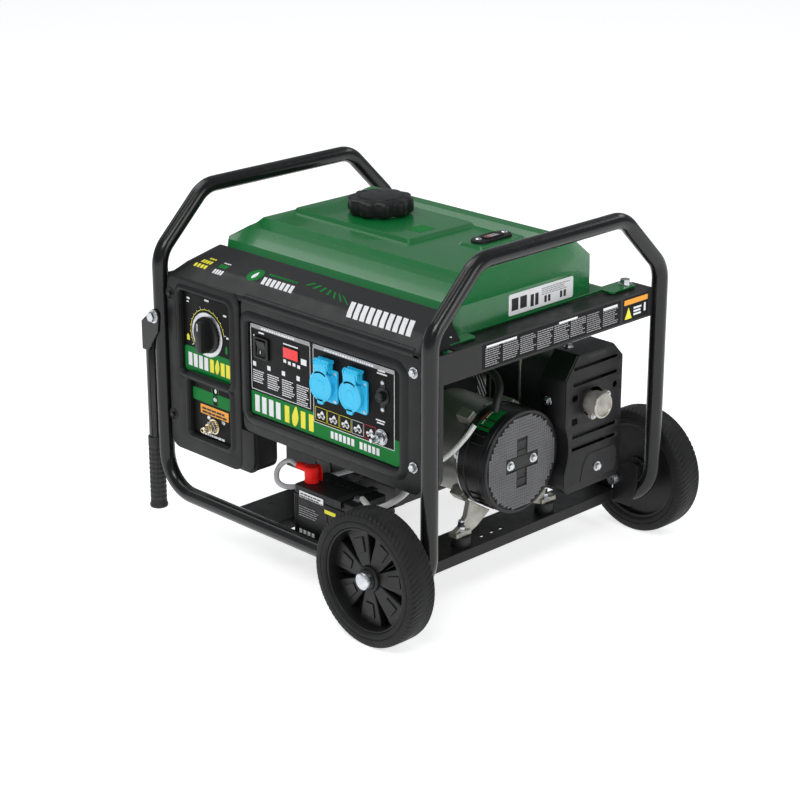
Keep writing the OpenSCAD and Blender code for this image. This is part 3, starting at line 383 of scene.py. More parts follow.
class Shape:
    """A mesh in the making, in millimetres in the row frame."""

    def __init__(self):
        self.bm = bmesh.new()

    def prism(self, outline, plane, low, high):
        ends = [[self.bm.verts.new(in_plane(plane, u, v, w)) for u, v in outline] for w in (low, high)]
        for end in ends:
            self.bm.faces.new(end)
        count = len(outline)
        for i in range(count):
            j = (i + 1) % count
            self.bm.faces.new((ends[0][i], ends[0][j], ends[1][j], ends[1][i]))
        return self

    def box(self, low, high):
        x1, y1, z1 = low
        x2, y2, z2 = high
        return self.prism([(x1, y1), (x2, y1), (x2, y2), (x1, y2)], "xy", z1, z2)

    def grid(self, rows, closed_rows=False, closed_columns=False, caps=False):
        """Quads between rows of points."""
        verts = [[self.bm.verts.new(p) for p in row] for row in rows]
        n, m = len(verts), len(verts[0])
        for i in range(n if closed_rows else n - 1):
            for j in range(m if closed_columns else m - 1):
                a, b = verts[i][j], verts[i][(j + 1) % m]
                c, d = verts[(i + 1) % n][(j + 1) % m], verts[(i + 1) % n][j]
                self.bm.faces.new((a, b, c, d))
        if caps:
            self.bm.faces.new(verts[0])
            self.bm.faces.new(verts[-1])
        return self

    def loft(self, sections):
        """A closed solid through outlines that have the same number of points."""
        return self.grid(sections, closed_columns=True, caps=True)

    def lathe(self, profile, at, axis, steps=48, waves=None):
        """Turns (radius, height) points about an axis; the profile starts and ends on it, or is a closed
        ring. waves(angle, radius, height) changes a radius."""
        turn = Vector((0, 0, 1)).rotation_difference(Vector(axis).normalized()).to_matrix()
        at = Vector(at)
        closed = profile[0][0] > 0 or profile[-1][0] > 0
        rows = []
        for radius, height in profile:
            if radius <= 0:
                rows.append([self.bm.verts.new(at + turn @ Vector((0, 0, height)))])
                continue
            row = []
            for i in range(steps):
                a = math.tau * i / steps
                r = waves(a, radius, height) if waves else radius
                row.append(self.bm.verts.new(at + turn @ Vector((r * math.cos(a), r * math.sin(a), height))))
            rows.append(row)
        pairs = list(zip(rows, rows[1:]))
        if closed:
            pairs.append((rows[-1], rows[0]))
        for first, second in pairs:
            if len(first) == 1 and len(second) == 1:
                continue
            for i in range(steps):
                j = (i + 1) % steps
                ring = [first[0]] if len(first) == 1 else [first[i], first[j]]
                ring += [second[0]] if len(second) == 1 else [second[j], second[i]]
                self.bm.faces.new(ring)
        return self

    def rod(self, start, end, radius, steps=24, edge=0.6):
        start, end = Vector(start), Vector(end)
        length = (end - start).length
        profile = [(0, 0), (radius - edge, 0), (radius, edge), (radius, length - edge),
                   (radius - edge, length), (0, length)]
        return self.lathe(profile, start, end - start, steps)

    def ring(self, at, axis, inner, outer, height, steps=40, edge=0.5):
        profile = [(inner, 0), (outer - edge, 0), (outer, edge), (outer, height - edge),
                   (outer - edge, height), (inner, height)]
        return self.lathe(profile, at, axis, steps)

    def sweep(self, points, radius, steps=28):
        """A round tube along a path, closed at its ends."""
        points = [Vector(p) for p in points]
        side = None
        rows = []
        for i, p in enumerate(points):
            along = (points[min(i + 1, len(points) - 1)] - points[max(i - 1, 0)]).normalized()
            if side is None:
                side = along.orthogonal().normalized()
            side = (side - along * side.dot(along)).normalized()
            other = along.cross(side)
            angles = [math.tau * k / steps for k in range(steps)]
            rows.append([p + radius * (math.cos(a) * side + math.sin(a) * other) for a in angles])
        return self.loft(rows)

    def bolt(self, at, axis, size, washer=True):
        """Hexagon bolt head with a turned top, on a washer; size is half its width over the corners."""
        at, axis = Vector(at), Vector(axis).normalized()
        base = 0.0
        if washer:
            self.ring(at, axis, 0.2 * size, 1.38 * size, 0.24 * size, 28, 0.08 * size)
            base = 0.24 * size
        turn = Vector((0, 0, 1)).rotation_difference(axis).to_matrix()
        rows = []
        for radius, height in ((1.0, 0), (1.0, 0.58), (0.86, 0.7)):
            rows.append([at + turn @ Vector((size * radius * math.cos(math.tau * k / 6),
                                             size * radius * math.sin(math.tau * k / 6),
                                             base + size * height)) for k in range(6)])
        self.loft(rows)
        return self.lathe([(0, 0), (0.62 * size, 0), (0.56 * size, 0.1 * size), (0, 0.1 * size)],
                          at + axis * (base + 0.7 * size), axis, 20)

    def screw(self, at, axis, radius):
        """Domed screw head with a cross recess left as four lands."""
        at, axis = Vector(at), Vector(axis).normalized()
        self.lathe([(0, 0), (radius, 0), (radius, 0.18 * radius), (0.72 * radius, 0.42 * radius),
                    (0, 0.42 * radius)], at, axis, 24)
        side = axis.orthogonal().normalized()
        other = axis.cross(side)
        top = at + axis * 0.42 * radius
        for s in (-1, 1):
            for t in (-1, 1):
                middle = top + (side * s + other * t) * 0.3 * radius
                corners = [middle + (side * a + other * b) * 0.17 * radius for a, b in
                           ((-1, -1), (1, -1), (1, 1), (-1, 1))]
                self.loft([corners, [c + axis * 0.16 * radius for c in corners]])
        return self

    def piece(self, name, finish_name, body="frame", slot=None, replaces=None, bevel=0.0, segments=2,
              angle=32):
        bmesh.ops.recalc_face_normals(self.bm, faces=self.bm.faces)
        bmesh.ops.scale(self.bm, vec=(MM, MM, MM), verts=self.bm.verts)
        mesh = bpy.data.meshes.new(name)
        self.bm.to_mesh(mesh)
        self.bm.free()
        return settle(mesh, name, finish_name, body, replaces, bevel, segments, angle)


def settle(mesh, name, finish_name, body, replaces, bevel=0.0, segments=2, angle=32):
    """Makes a mesh a piece of the object that rides on a body."""
    mesh.polygons.foreach_set("use_smooth", [True] * len(mesh.polygons))
    mesh.set_sharp_from_angle(angle=math.radians(angle))
    mesh.materials.append(FINISHES[finish_name])
    piece = add_object(name, mesh)
    if bevel:
        add_bevel(piece, bevel, segments, angle)
    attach(piece, body)
    if replaces:
        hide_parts(replaces)
    return piece


def add_bevel(piece, width, segments=2, angle=32):
    bevel = piece.modifiers.new("edges", "BEVEL")
    bevel.width = width * MM
    bevel.segments = segments
    bevel.limit_method = "ANGLE"
    bevel.angle_limit = math.radians(angle)
    bevel.harden_normals = True
    bevel.use_clamp_overlap = True


def plate(name, outlines, plane, low, high, finish_name, replaces=None, edge=0.5):
    """A flat plate between two heights over a plane, with rounded edges. The first outline is its edge,
    and any others are holes or islands."""
    curve = bpy.data.curves.new(name, "CURVE")
    curve.dimensions = "2D"
    curve.fill_mode = "BOTH"
    curve.extrude = ((high - low) / 2 - edge) * MM
    curve.bevel_depth = edge * MM
    curve.bevel_resolution = 2
    curve.offset = -edge * MM
    for outline in outlines:
        spline = curve.splines.new("POLY")
        spline.points.add(len(outline) - 1)
        for point, (u, v) in zip(spline.points, outline):
            point.co = (u * MM, v * MM, 0, 1)
        spline.use_cyclic_u = True
    helper = add_object(name + "_outline", curve)
    bpy.context.view_layer.update()
    mesh = bpy.data.meshes.new_from_object(helper)
    bpy.data.objects.remove(helper)
    bpy.data.curves.remove(curve)
    middle = (low + high) / 2 * MM
    for vertex in mesh.vertices:
        u, v, w = vertex.co
        vertex.co = in_plane(plane, u, v, middle + w)
    bm = bmesh.new()
    bm.from_mesh(mesh)
    bmesh.ops.remove_doubles(bm, verts=bm.verts, dist=1e-6)
    bmesh.ops.recalc_face_normals(bm, faces=bm.faces)
    bm.to_mesh(mesh)
    bm.free()
    return settle(mesh, name, finish_name, "frame", replaces)


def marks(name, rects, plane, at, finish_name, thick=0.25, body="frame"):
    """Printed bars on a plane, each (low u, low v, high u, high v)."""
    shape = Shape()
    for u1, v1, u2, v2 in rects:
        shape.prism([(u1, v1), (u2, v1), (u2, v2), (u1, v2)], plane, at - thick, at)
    return shape.piece(name, finish_name, body)


def text_lines(low, high, rows, fill=0.55, seed=0, gap=1.2, longest=9.0, shortest=2.5):
    """Rows of short bars that stand in for small print inside a rectangle."""
    dice = random.Random(seed)
    pitch = (high[1] - low[1]) / rows
    rects = []
    for i in range(rows):
        v = high[1] - (i + 1) * pitch
        u = low[0]
        end = high[0] - dice.uniform(0, 0.25) * (high[0] - low[0])
        while u < end - shortest:
            length = min(dice.uniform(shortest, longest), end - u)
            rects.append((u, v, u + length, v + fill * pitch))
            u += length + gap
    return rects


def add_screws(name, places, axis, radius, slot):
    shape = Shape()
    for place in places:
        shape.screw(place, axis, radius)
    shape.piece(name, "zinc", slot=slot)


def add_bolts(name, places, axis, size, washer=True):
    shape = Shape()
    for place in places:
        shape.bolt(place, axis, size, washer)
    shape.piece(name, "zinc")


def frame_rects(low, high, width):
    """The four bars of a rectangular line."""
    (x1, y1), (x2, y2) = low, high
    return [(x1, y1, x2, y1 + width), (x1, y2 - width, x2, y2), (x1, y1, x1 + width, y2),
            (x2 - width, y1, x2, y2)]


def lead(name, points, diameter, finish_name):
    """A wire between two fixed ends, as a curve of its real length."""
    path = [p * MM for p in smooth_path(points)]
    curve = bpy.data.curves.new(name, "CURVE")
    curve.dimensions = "3D"
    curve.bevel_depth = diameter / 2 * MM
    curve.bevel_resolution = 5
    curve.use_fill_caps = True
    spline = curve.splines.new("POLY")
    spline.points.add(len(path) - 1)
    for point, place in zip(spline.points, path):
        point.co = (*place, 1)
    spline.use_smooth = True
    piece = add_object(name, curve)
    curve.materials.append(FINISHES[finish_name])
    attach(piece, "frame")
    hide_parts("wiring")


def dress(node, finish_name, bevel=0.6, segments=2):
    """Gives a CAD node its finish, joined faces and soft edges; its own mesh stays as packed."""
    target = NODES[node]
    target.data.materials.clear()
    target.data.materials.append(FINISHES[finish_name])
    weld = target.modifiers.new("joined", "WELD")
    weld.merge_threshold = 0.00002
    add_bevel(target, bevel, segments, 28)


# ---------------------------------------------------------------- cords, on the routes of the CAD wiring

BOOT_LEAD = [(-26.4, -207, 171.7), (-40, -210, 176), (-52, -216, 168), (-56, -222, 156), (-50, -226, 144),
             (-38, -222, 138), (-28, -206, 136), (-24, -180, 136), (-20, -150, 138), (-6, -116, 143),
             (10, -98, 147), (14, -85, 148)]
ENGINE_LEAD = [(111.6, -204, 156.4), (126, -211, 156.5), (146, -221, 157), (166, -224, 164),
               (186, -218, 176), (200, -206, 190), (206, -193, 208), (206, -192, 224), (205, -204, 236)]
LOOM = [(214, -32, 274), (212, -26, 290), (206, -14, 304), (196, -8, 314), (182, -4, 320), (164, -6, 324),
        (140, -20, 326), (110, -60, 330), (90, -110, 332), (80, -160, 330), (78, -198, 328),
        (78, -211.6, 328)]
SLEEVE = [(212, -73, 264), (206, -86, 246), (190, -98, 222), (172, -112, 204), (158, -132, 196),
          (146, -160, 206), (138, -188, 226), (136, -212, 240)]

lead("lead_to_boot", BOOT_LEAD, 8, "sheath_grey")
lead("lead_to_engine", ENGINE_LEAD, 9, "sheath_white")
lead("alternator_loom", LOOM, 12, "hose_black")
lead("white_sleeve", SLEEVE, 8, "sheath_white")


# ---------------------------------------------------------------- frame

TUBE_R = (high_mm("bottom_tubes").z - low_mm("bottom_tubes").z) / 2
FLOOR_Z = centre_mm("bottom_tubes").z
POST_Y = high_mm("bottom_tubes").y - TUBE_R
HOOP_X = high_mm("right_hoop").x - TUBE_R
RAIL_Z = high_mm("right_hoop").z - TUBE_R
BEND_X = high_mm("bottom_tubes").x
FLOOR_BEND = HOOP_X - BEND_X
SHOULDER_Z = 455
RAIL_Y = 153.8
SHOULDER_BEND = 50
PANEL_FACE = -246
TAB_Y = PANEL_FACE + 8
TAB_HALF = 9
TAB_THICK = 3
WELD_R = 2.2
RIGHT_BOLTS = [(259.5, 399), (259.5, 259.5)]
LEFT_BOLTS = [(-264, 398), (-266, 201)]


def add_hoop(node, side, bolts):
    x = side * HOOP_X
    corners = [(side * BEND_X, -POST_Y, FLOOR_Z), (x, -POST_Y, FLOOR_Z), (x, -POST_Y, SHOULDER_Z),
               (x, -RAIL_Y, RAIL_Z), (x, RAIL_Y, RAIL_Z), (x, POST_Y, SHOULDER_Z), (x, POST_Y, FLOOR_Z),
               (side * BEND_X, POST_Y, FLOOR_Z)]
    radii = [FLOOR_BEND, *[SHOULDER_BEND] * 4, FLOOR_BEND]
    tube = Shape().sweep(filleted(corners, radii, 14), TUBE_R, 36)
    tube.piece(node + "_tube", "gloss_black", replaces=node)
    tabs = Shape()
    weld_x = side * (HOOP_X - TUBE_R + 1.5)
    weld_y = TAB_Y + TAB_THICK / 2
    for bolt_x, bolt_z in bolts:
        inner, low, high = bolt_x - side * TAB_HALF, bolt_z - TAB_HALF, bolt_z + TAB_HALF
        tabs.prism([(inner, low), (x, low), (x, high), (inner, high)], "xz", TAB_Y, TAB_Y + TAB_THICK)
        for edge in (low, high):
            tabs.sweep([(weld_x, weld_y, edge - 1), (weld_x, weld_y, edge + 1)], WELD_R, 12)
    tabs.piece(node + "_tabs", "gloss_black", replaces=node, bevel=0.6)


add_hoop("left_hoop", -1, LEFT_BOLTS)
add_hoop("right_hoop", 1, RIGHT_BOLTS)
bottom = Shape()
for end in (-1, 1):
    bottom.sweep([(-BEND_X, end * POST_Y, FLOOR_Z), (0, end * POST_Y, FLOOR_Z),
                  (BEND_X, end * POST_Y, FLOOR_Z)],
                 TUBE_R, 36)
bottom.piece("bottom_tubes_visual", "gloss_black", replaces="bottom_tubes")

for folded in ("side_rails", "left_cross_member", "right_cross_member", "support_leg"):
    dress(folded, "powder_black", 0.9)
dress("leg_feet", "rubber", 1.2, 3)
dress("axle_bolts", "zinc", 0.5)
dress("axle_clips", "zinc", 0.2)
dress("front_handle", "gloss_black")
dress("rear_handle", "gloss_black")
dress("handle_pivot_bolts", "zinc", 0.5)


# ---------------------------------------------------------------- fuel tank

TANK_X = 248
SEAM_Z = 427
LEDGE_Z = 498
PLATEAU_Z = 504
CAP = Vector((-95, 36, 0))
GAUGE = Vector((124, 52, 498))
TAB_FRONT, TAB_REAR = -179, 203


def boolean(first, second, operation):
    cut = first.modifiers.new("cut", "BOOLEAN")
    cut.object = second
    cut.operation = operation
    cut.solver = "EXACT"
    bpy.context.view_layer.update()
    seen = first.evaluated_get(bpy.context.evaluated_depsgraph_get())
    mesh = bpy.data.meshes.new_from_object(seen)
    first.modifiers.clear()
    first.data = mesh
    bpy.data.objects.remove(second)


def helper(shape, name):
    bmesh.ops.recalc_face_normals(shape.bm, faces=shape.bm.faces)
    mesh = bpy.data.meshes.new(name)
    shape.bm.to_mesh(mesh)
    shape.bm.free()
    return add_object(name, mesh)


def frustum(low, high, z1, z2, inset, corner):
    """A raised field with sloping sides: its lower outline is round_rect(low, high), its upper is inset."""
    sections = [(inset_rect(low, high, step, corner, 3), z) for z, step in ((z1, 0.0), (z2, inset))]
    return Shape().loft(layers("xy", sections))


def add_tank():
    side = [(-165, SEAM_Z), (-165, 452), (-151, 470), (-116, 486), (-104, 489), (-97, LEDGE_Z),
            (98, LEDGE_Z), (108, 508), (124, 510), (134, 506), (160, 462), (164, 440), (164, SEAM_Z)]
    dome = helper(Shape().prism(side, "yz", -TANK_X, TANK_X), "tank_dome")
    front = [(-TANK_X, SEAM_Z - 1), (-TANK_X, 468), (-204, 511), (204, 511), (TANK_X, 468),
             (TANK_X, SEAM_Z - 1)]
    boolean(dome, helper(Shape().prism(front, "xz", -200, 200), "tank_front"), "INTERSECT")
    plan = [(-TANK_X, -140), (22 - TANK_X, -166), (TANK_X - 22, -166), (TANK_X, -140), (TANK_X, 132),
            (TANK_X - 30, 166), (30 - TANK_X, 166), (-TANK_X, 132)]
    boolean(dome, helper(Shape().prism(plan, "xy", SEAM_Z - 2, 600), "tank_plan"), "INTERSECT")
    plateau = frustum((-216, -50), (54, 104), LEDGE_Z - 8, PLATEAU_Z, 9.0, 6)
    boolean(dome, helper(plateau, "tank_plateau"), "UNION")
    boss = frustum((92, -2), (158, 106), LEDGE_Z - 8, LEDGE_Z + 4.5, 9.0, 6)
    boolean(dome, helper(boss, "gauge_boss"), "UNION")
    bm = bmesh.new()
    bm.from_mesh(dome.data)
    bmesh.ops.remove_doubles(bm, verts=bm.verts, dist=0.05)
    bmesh.ops.dissolve_limit(bm, angle_limit=math.radians(1), verts=bm.verts, edges=bm.edges)
    edges = [e for e in bm.edges if e.is_manifold and e.calc_face_angle() > math.radians(9)
             and min(v.co.z for v in e.verts) > SEAM_Z + 0.5]
    bmesh.ops.bevel(bm, geom=edges, offset=3.2, segments=4, profile=0.6, affect="EDGES", clamp_overlap=True)
    bpy.data.objects.remove(dome)
    shape = Shape()
    shape.bm.free()
    shape.bm = bm
    shape.piece("tank_top", "tank_green", replaces="tank_shell", angle=50)
    rim = [round_rect((-TANK_X - 3, -170), (TANK_X + 3, 170), 14)]
    plate("tank_rim", rim, "xy", SEAM_Z - 1.6, SEAM_Z + 1.6, "tank_green", replaces="tank_shell", edge=0.7)
    ears = Shape()
    for end in (-1, 1):
        for low, high in ((TAB_REAR - 46, TAB_REAR + 12), (TAB_FRONT - 12, TAB_FRONT + 46)):
            x1, x2 = sorted((end * 240, end * 272))
            ears.prism(round_rect((x1, low), (x2, high), 8), "xy", SEAM_Z - 1.5, SEAM_Z + 1.5)
    ears.piece("tank_ears", "tank_green", replaces="tank_shell", bevel=0.6)


add_tank()
dress("tank_base", "tank_green", 0.7)
dress("filler_neck", "tank_green", 0.5)
dress("cap_gasket", "rubber", 0.3)
dress("tank_bolts", "zinc", 0.5)
dress("float_arm", "brass", 0.3)


def add_cap():
    low, high = low_mm("fuel_cap").z, high_mm("fuel_cap").z
    radius = (high_mm("fuel_cap").x - low_mm("fuel_cap").x) / 2 - 0.3

    def lobes(angle, r, _height):
        if r < 0.62 * radius:
            return r
        swell = max(0.0, math.cos(5 * angle) ** 2) ** 0.7
        return r - 5.2 * (1 - swell) * ease(0.62 * radius, radius, r)

    top = high - low
    profile = [(0, 3), (radius - 14, 3), (radius - 12, 0), (radius - 3, 0), (radius - 1, 1), (radius, 3),
               (radius, top - 8), (radius - 0.8, top - 5.5), (radius - 3, top - 3.6),
               (radius - 9, top - 2.2), (radius - 14, top - 1.4), (radius - 15, top - 2.4),
               (radius - 17, top - 2.6), (radius - 18, top - 1.2), (radius - 24, top - 0.3), (0, top)]
    cap = Shape().lathe(profile, (CAP.x, CAP.y, low), UP, 160, lobes)
    cap.piece("fuel_cap_visual", "moulded_black", "fuel_cap", replaces="fuel_cap", angle=40)


def add_gauge():
    x, y, z = GAUGE
    rim = [round_rect((x - 14, y - 38), (x + 14, y + 38), 13.5, 8)]
    plate("gauge_bezel", rim, "xy", z - 0.5, z + 9, "moulded_black", replaces="fuel_gauge", edge=2.0)
    inner = [round_rect((x - 10, y - 20), (x + 10, y + 20), 6, 8),
             round_rect((x - 7, y - 14), (x + 7, y + 14), 4, 8)]
    plate("gauge_window_ring", inner, "xy", z + 8, z + 11, "moulded_black", edge=0.8)
    dial = [round_rect((x - 7.5, y - 14.5), (x + 7.5, y + 14.5), 4, 8)]
    plate("gauge_dial", dial, "xy", z + 8, z + 9.4, "print_grey", edge=0.2)
    marks("gauge_scale", [(x - 4, y - 10 + 5 * i, x + 1, y - 9.2 + 5 * i) for i in range(5)], "xy", z + 9.6,
          "deep_black")
    marks("gauge_pointer", [(x - 5, y - 8, x + 5, y - 5)], "xy", z + 9.7, "print_red")
    add_screws("gauge_screws", [(x, y - 28, z + 9), (x, y + 28, z + 9)], UP, 5, "fuel_gauge")


add_cap()
add_gauge()
marks("tank_patch", [(2, -4, 30, 30)], "xy", PLATEAU_Z + 0.3, "label_green", 0.2)

# The information label on the tank's right side, with bars in place of print.
side_plate = [round_rect((-44, 431), (95, 463), 3)]
plate("tank_label", side_plate, "yz", TANK_X - 0.4, TANK_X + 0.6, "print_white", edge=0.2)
marks("tank_label_text", text_lines((26, 448), (90, 460), 4, seed=1), "yz", TANK_X + 0.8, "print_grey")
marks("tank_label_blocks", [(-38, 438, -24, 456), (-20, 438, -6, 456), (2, 436, 9, 454), (12, 436, 19, 454),
                            (32, 436, 37, 446), (40, 436, 45, 446), (66, 436, 71, 446), (74, 436, 79, 446)],
      "yz", TANK_X + 0.8, "deep_black")


# ---------------------------------------------------------------- control panel

PLATE_Y = PANEL_FACE + 4
LABEL_Y = PLATE_Y - 1
PANEL_X = 273
PANEL_TOP = 429
MAIN_BOTTOM = 218
SPLIT_X = -104
LEFT_BOTTOM = 149
LEFT_FACE = PANEL_FACE - 2.5
PANEL_BACK = -200
WALL = 4
RECESSES = {
    "selector": ((-242, 279), (-126, 409)),
    "inlet": ((-226, 181), (-129, 272)),
    "main": ((-88, 248), (232, 394)),
}


def add_bezel(name, low, high, face, width):
    """A moulded border round a recess: it swells out of the panel and turns down to the label."""
    section = [(width, 0.6), (width - 1, -0.6), (width * 0.6, -2.4), (width * 0.42, -3.0), (3.2, -3.0),
               (1.6, -2.2), (0.6, 0.4), (-0.2, LABEL_Y - face + 0.3), (-0.4, LABEL_Y - face + 1),
               (width, 1.6)]
    rows = layers("xz", [(inset_rect(low, high, -grow, max(3, 7 + grow), 10), face + depth)
                         for grow, depth in section])
    border = Shape().grid(rows, closed_rows=True, closed_columns=True)
    border.piece(name, "panel_black", replaces="control_panel", angle=50)


def panel_plate(name, outlines, low, high, edge=0.5):
    plate(name, outlines, "xz", low, high, "panel_black", replaces="control_panel", edge=edge)


def module_walls(low, high, corner):
    """Outer and inner outline of a moulding's side walls."""
    return [inset_rect(low, high, 0, corner, 8), inset_rect(low, high, WALL, corner - 3, 8)]


def add_panel():
    left_edge = round_rect((-PANEL_X, LEFT_BOTTOM - 1), (SPLIT_X - 1.5, PANEL_TOP), 19, 8)
    main_edge = round_rect((SPLIT_X + 1.5, MAIN_BOTTOM), (PANEL_X, PANEL_TOP), 15, 8)
    windows = {name: round_rect(low, high, 7) for name, (low, high) in RECESSES.items()}
    # The left module stands a little proud, as a bevelled frame round its two recesses.
    openings = [windows["selector"], windows["inlet"]]
    panel_plate("panel_left_face", [left_edge, *openings], LEFT_FACE, PLATE_Y, 2.4)
    step = [(SPLIT_X - 10, 152), (-91, 152), (-81, 160), (-78, 172), (-78, MAIN_BOTTOM + 1),
            (SPLIT_X - 10, MAIN_BOTTOM + 1)]
    panel_plate("panel_left_step", [step], PANEL_FACE - 1.2, PLATE_Y, 1.1)
    add_bezel("main_bezel", *RECESSES["main"], PANEL_FACE, 17)
    add_bezel("selector_bezel", *RECESSES["selector"], LEFT_FACE, 11)
    add_bezel("inlet_bezel", *RECESSES["inlet"], LEFT_FACE, 11)
    panel_plate("panel_main_face", [main_edge, windows["main"]], PANEL_FACE, PLATE_Y, 1.5)

    left_low, left_high = (-PANEL_X + 1, LEFT_BOTTOM), (-79, PANEL_TOP - 1)
    main_low, main_high = (-110, MAIN_BOTTOM + 1), (PANEL_X - 1, PANEL_TOP - 1)
    left_back = round_rect(left_low, (left_high[0] + 2, left_high[1]), 19, 8)
    main_back = round_rect(main_low, main_high, 15, 8)
    panel_plate("panel_left_back", [left_back], PLATE_Y - 0.5, PLATE_Y + 4)
    panel_plate("panel_main_back", [main_back], PLATE_Y - 0.5, PLATE_Y + 4)
    panel_plate("panel_left_wall", module_walls(left_low, left_high, 19), PLATE_Y + 3, PANEL_BACK)
    panel_plate("panel_main_wall", module_walls(main_low, main_high, 15), PLATE_Y + 3, PANEL_BACK)


def cowl_height(x, y):
    """Height of the sloping cowl over the panel."""
    rise = [(PANEL_FACE, 424), (PANEL_FACE + 1.2, 429), (PANEL_FACE + 10, 435), (-219, 446), (-166, 464)]
    z = rise[-1][1]
    for (y1, z1), (y2, z2) in zip(rise, rise[1:]):
        if y <= y2:
            z = z1 + (z2 - z1) * (y - y1) / (y2 - y1)
            break
    edge = 425 + (PANEL_X - abs(x)) * 41 / 30
    soft = 3.0
    return -soft * math.log(math.exp(-z / soft) + math.exp(-edge / soft))


def add_cowl():
    ys = [PANEL_FACE + t for t in (0, 0.5, 1.2, 2.5, 5, 8, 10, 12, 16, 22, 27, 30, 36, 46, 58, 70, 80)]
    half = [PANEL_X - t for t in (0, 2, 4, 8, 12, 16, 20, 24, 28, 32, 36, 42, 50)]
    xs = [-x for x in half] + [x for x in range(-200, 201, 25)] + half[::-1]
    shape = Shape()
    top = [[Vector((x, y, cowl_height(x, y))) for x in xs] for y in ys]
    under = [[p - Vector((0, 0, 3)) for p in row] for row in top]
    shape.grid(top)
    shape.grid(under)
    for row_top, row_under in ((top[0], under[0]), (top[-1], under[-1])):
        shape.grid([row_top, row_under])
    for k in (0, -1):
        shape.grid([[row[k] for row in top], [row[k] for row in under]])
    bmesh.ops.remove_doubles(shape.bm, verts=shape.bm.verts, dist=0.01)
    shape.piece("panel_cowl", "panel_black", replaces="control_panel", angle=40)
    # The rounded brow over the main label, where the cowl turns down into the panel's face.
    brow = Shape().sweep([(SPLIT_X + 6, PANEL_FACE + 6, 425), (PANEL_X - 14, PANEL_FACE + 6, 425)], 7.5)
    brow.piece("panel_brow", "panel_black", replaces="control_panel", bevel=2.0, segments=3)


def add_label_plates():
    for name, (low, high) in RECESSES.items():
        plate("label_" + name, [inset_rect(low, high, 1, 6)], "xz", LABEL_Y, PLATE_Y, "label_black",
              replaces="label_plates", edge=0.3)


add_panel()
add_cowl()
add_label_plates()


# ---------------------------------------------------------------- panel fittings

PRINT_Y = LABEL_Y - 0.15  # where printed marks lie on the label plates
PRINT_THICK = 0.12
KNOB = Vector((-184, LABEL_Y, 348.5))
SOCKETS = [Vector((81.5, LABEL_Y, 337)), Vector((142.5, LABEL_Y, 337))]
BREAKER = Vector((196, LABEL_Y, 348))
GROUND = Vector((193, LABEL_Y, 286))
GAS = Vector((-174, LABEL_Y, 203))
ROCKER = Vector((-60, LABEL_Y, 357))


def printed(name, rects, finish_name, lift=0.0):
    return marks(name, rects, "xz", PRINT_Y - lift, finish_name, PRINT_THICK)


def printed_shape(name, outlines, finish_name, lift=0.0):
    """A printed patch of any outline."""
    shape = Shape()
    for outline in outlines:
        shape.prism(outline, "xz", PRINT_Y - lift - PRINT_THICK, PRINT_Y - lift)
    return shape.piece(name, finish_name)


def arc_band(centre, radius, width, start, stop):
    """Outline of a band along an arc, in degrees."""
    steps = 30
    points = []
    for r, order in ((radius, range(steps + 1)), (radius + width, range(steps, -1, -1))):
        for i in order:
            a = math.radians(start + (stop - start) * i / steps)
            points.append((centre[0] + r * math.cos(a), centre[1] + r * math.sin(a)))
    return points


def leaf(centre, height, width, lean=0.0):
    """A plain pointed oval."""
    points = []
    for i in range(24):
        a = math.tau * i / 24
        v = math.sin(a)
        pinch = 1 - 0.55 * max(0.0, v)
        points.append((centre[0] + width / 2 * math.cos(a) * pinch + lean * v, centre[1] + height / 2 * v))
    return points


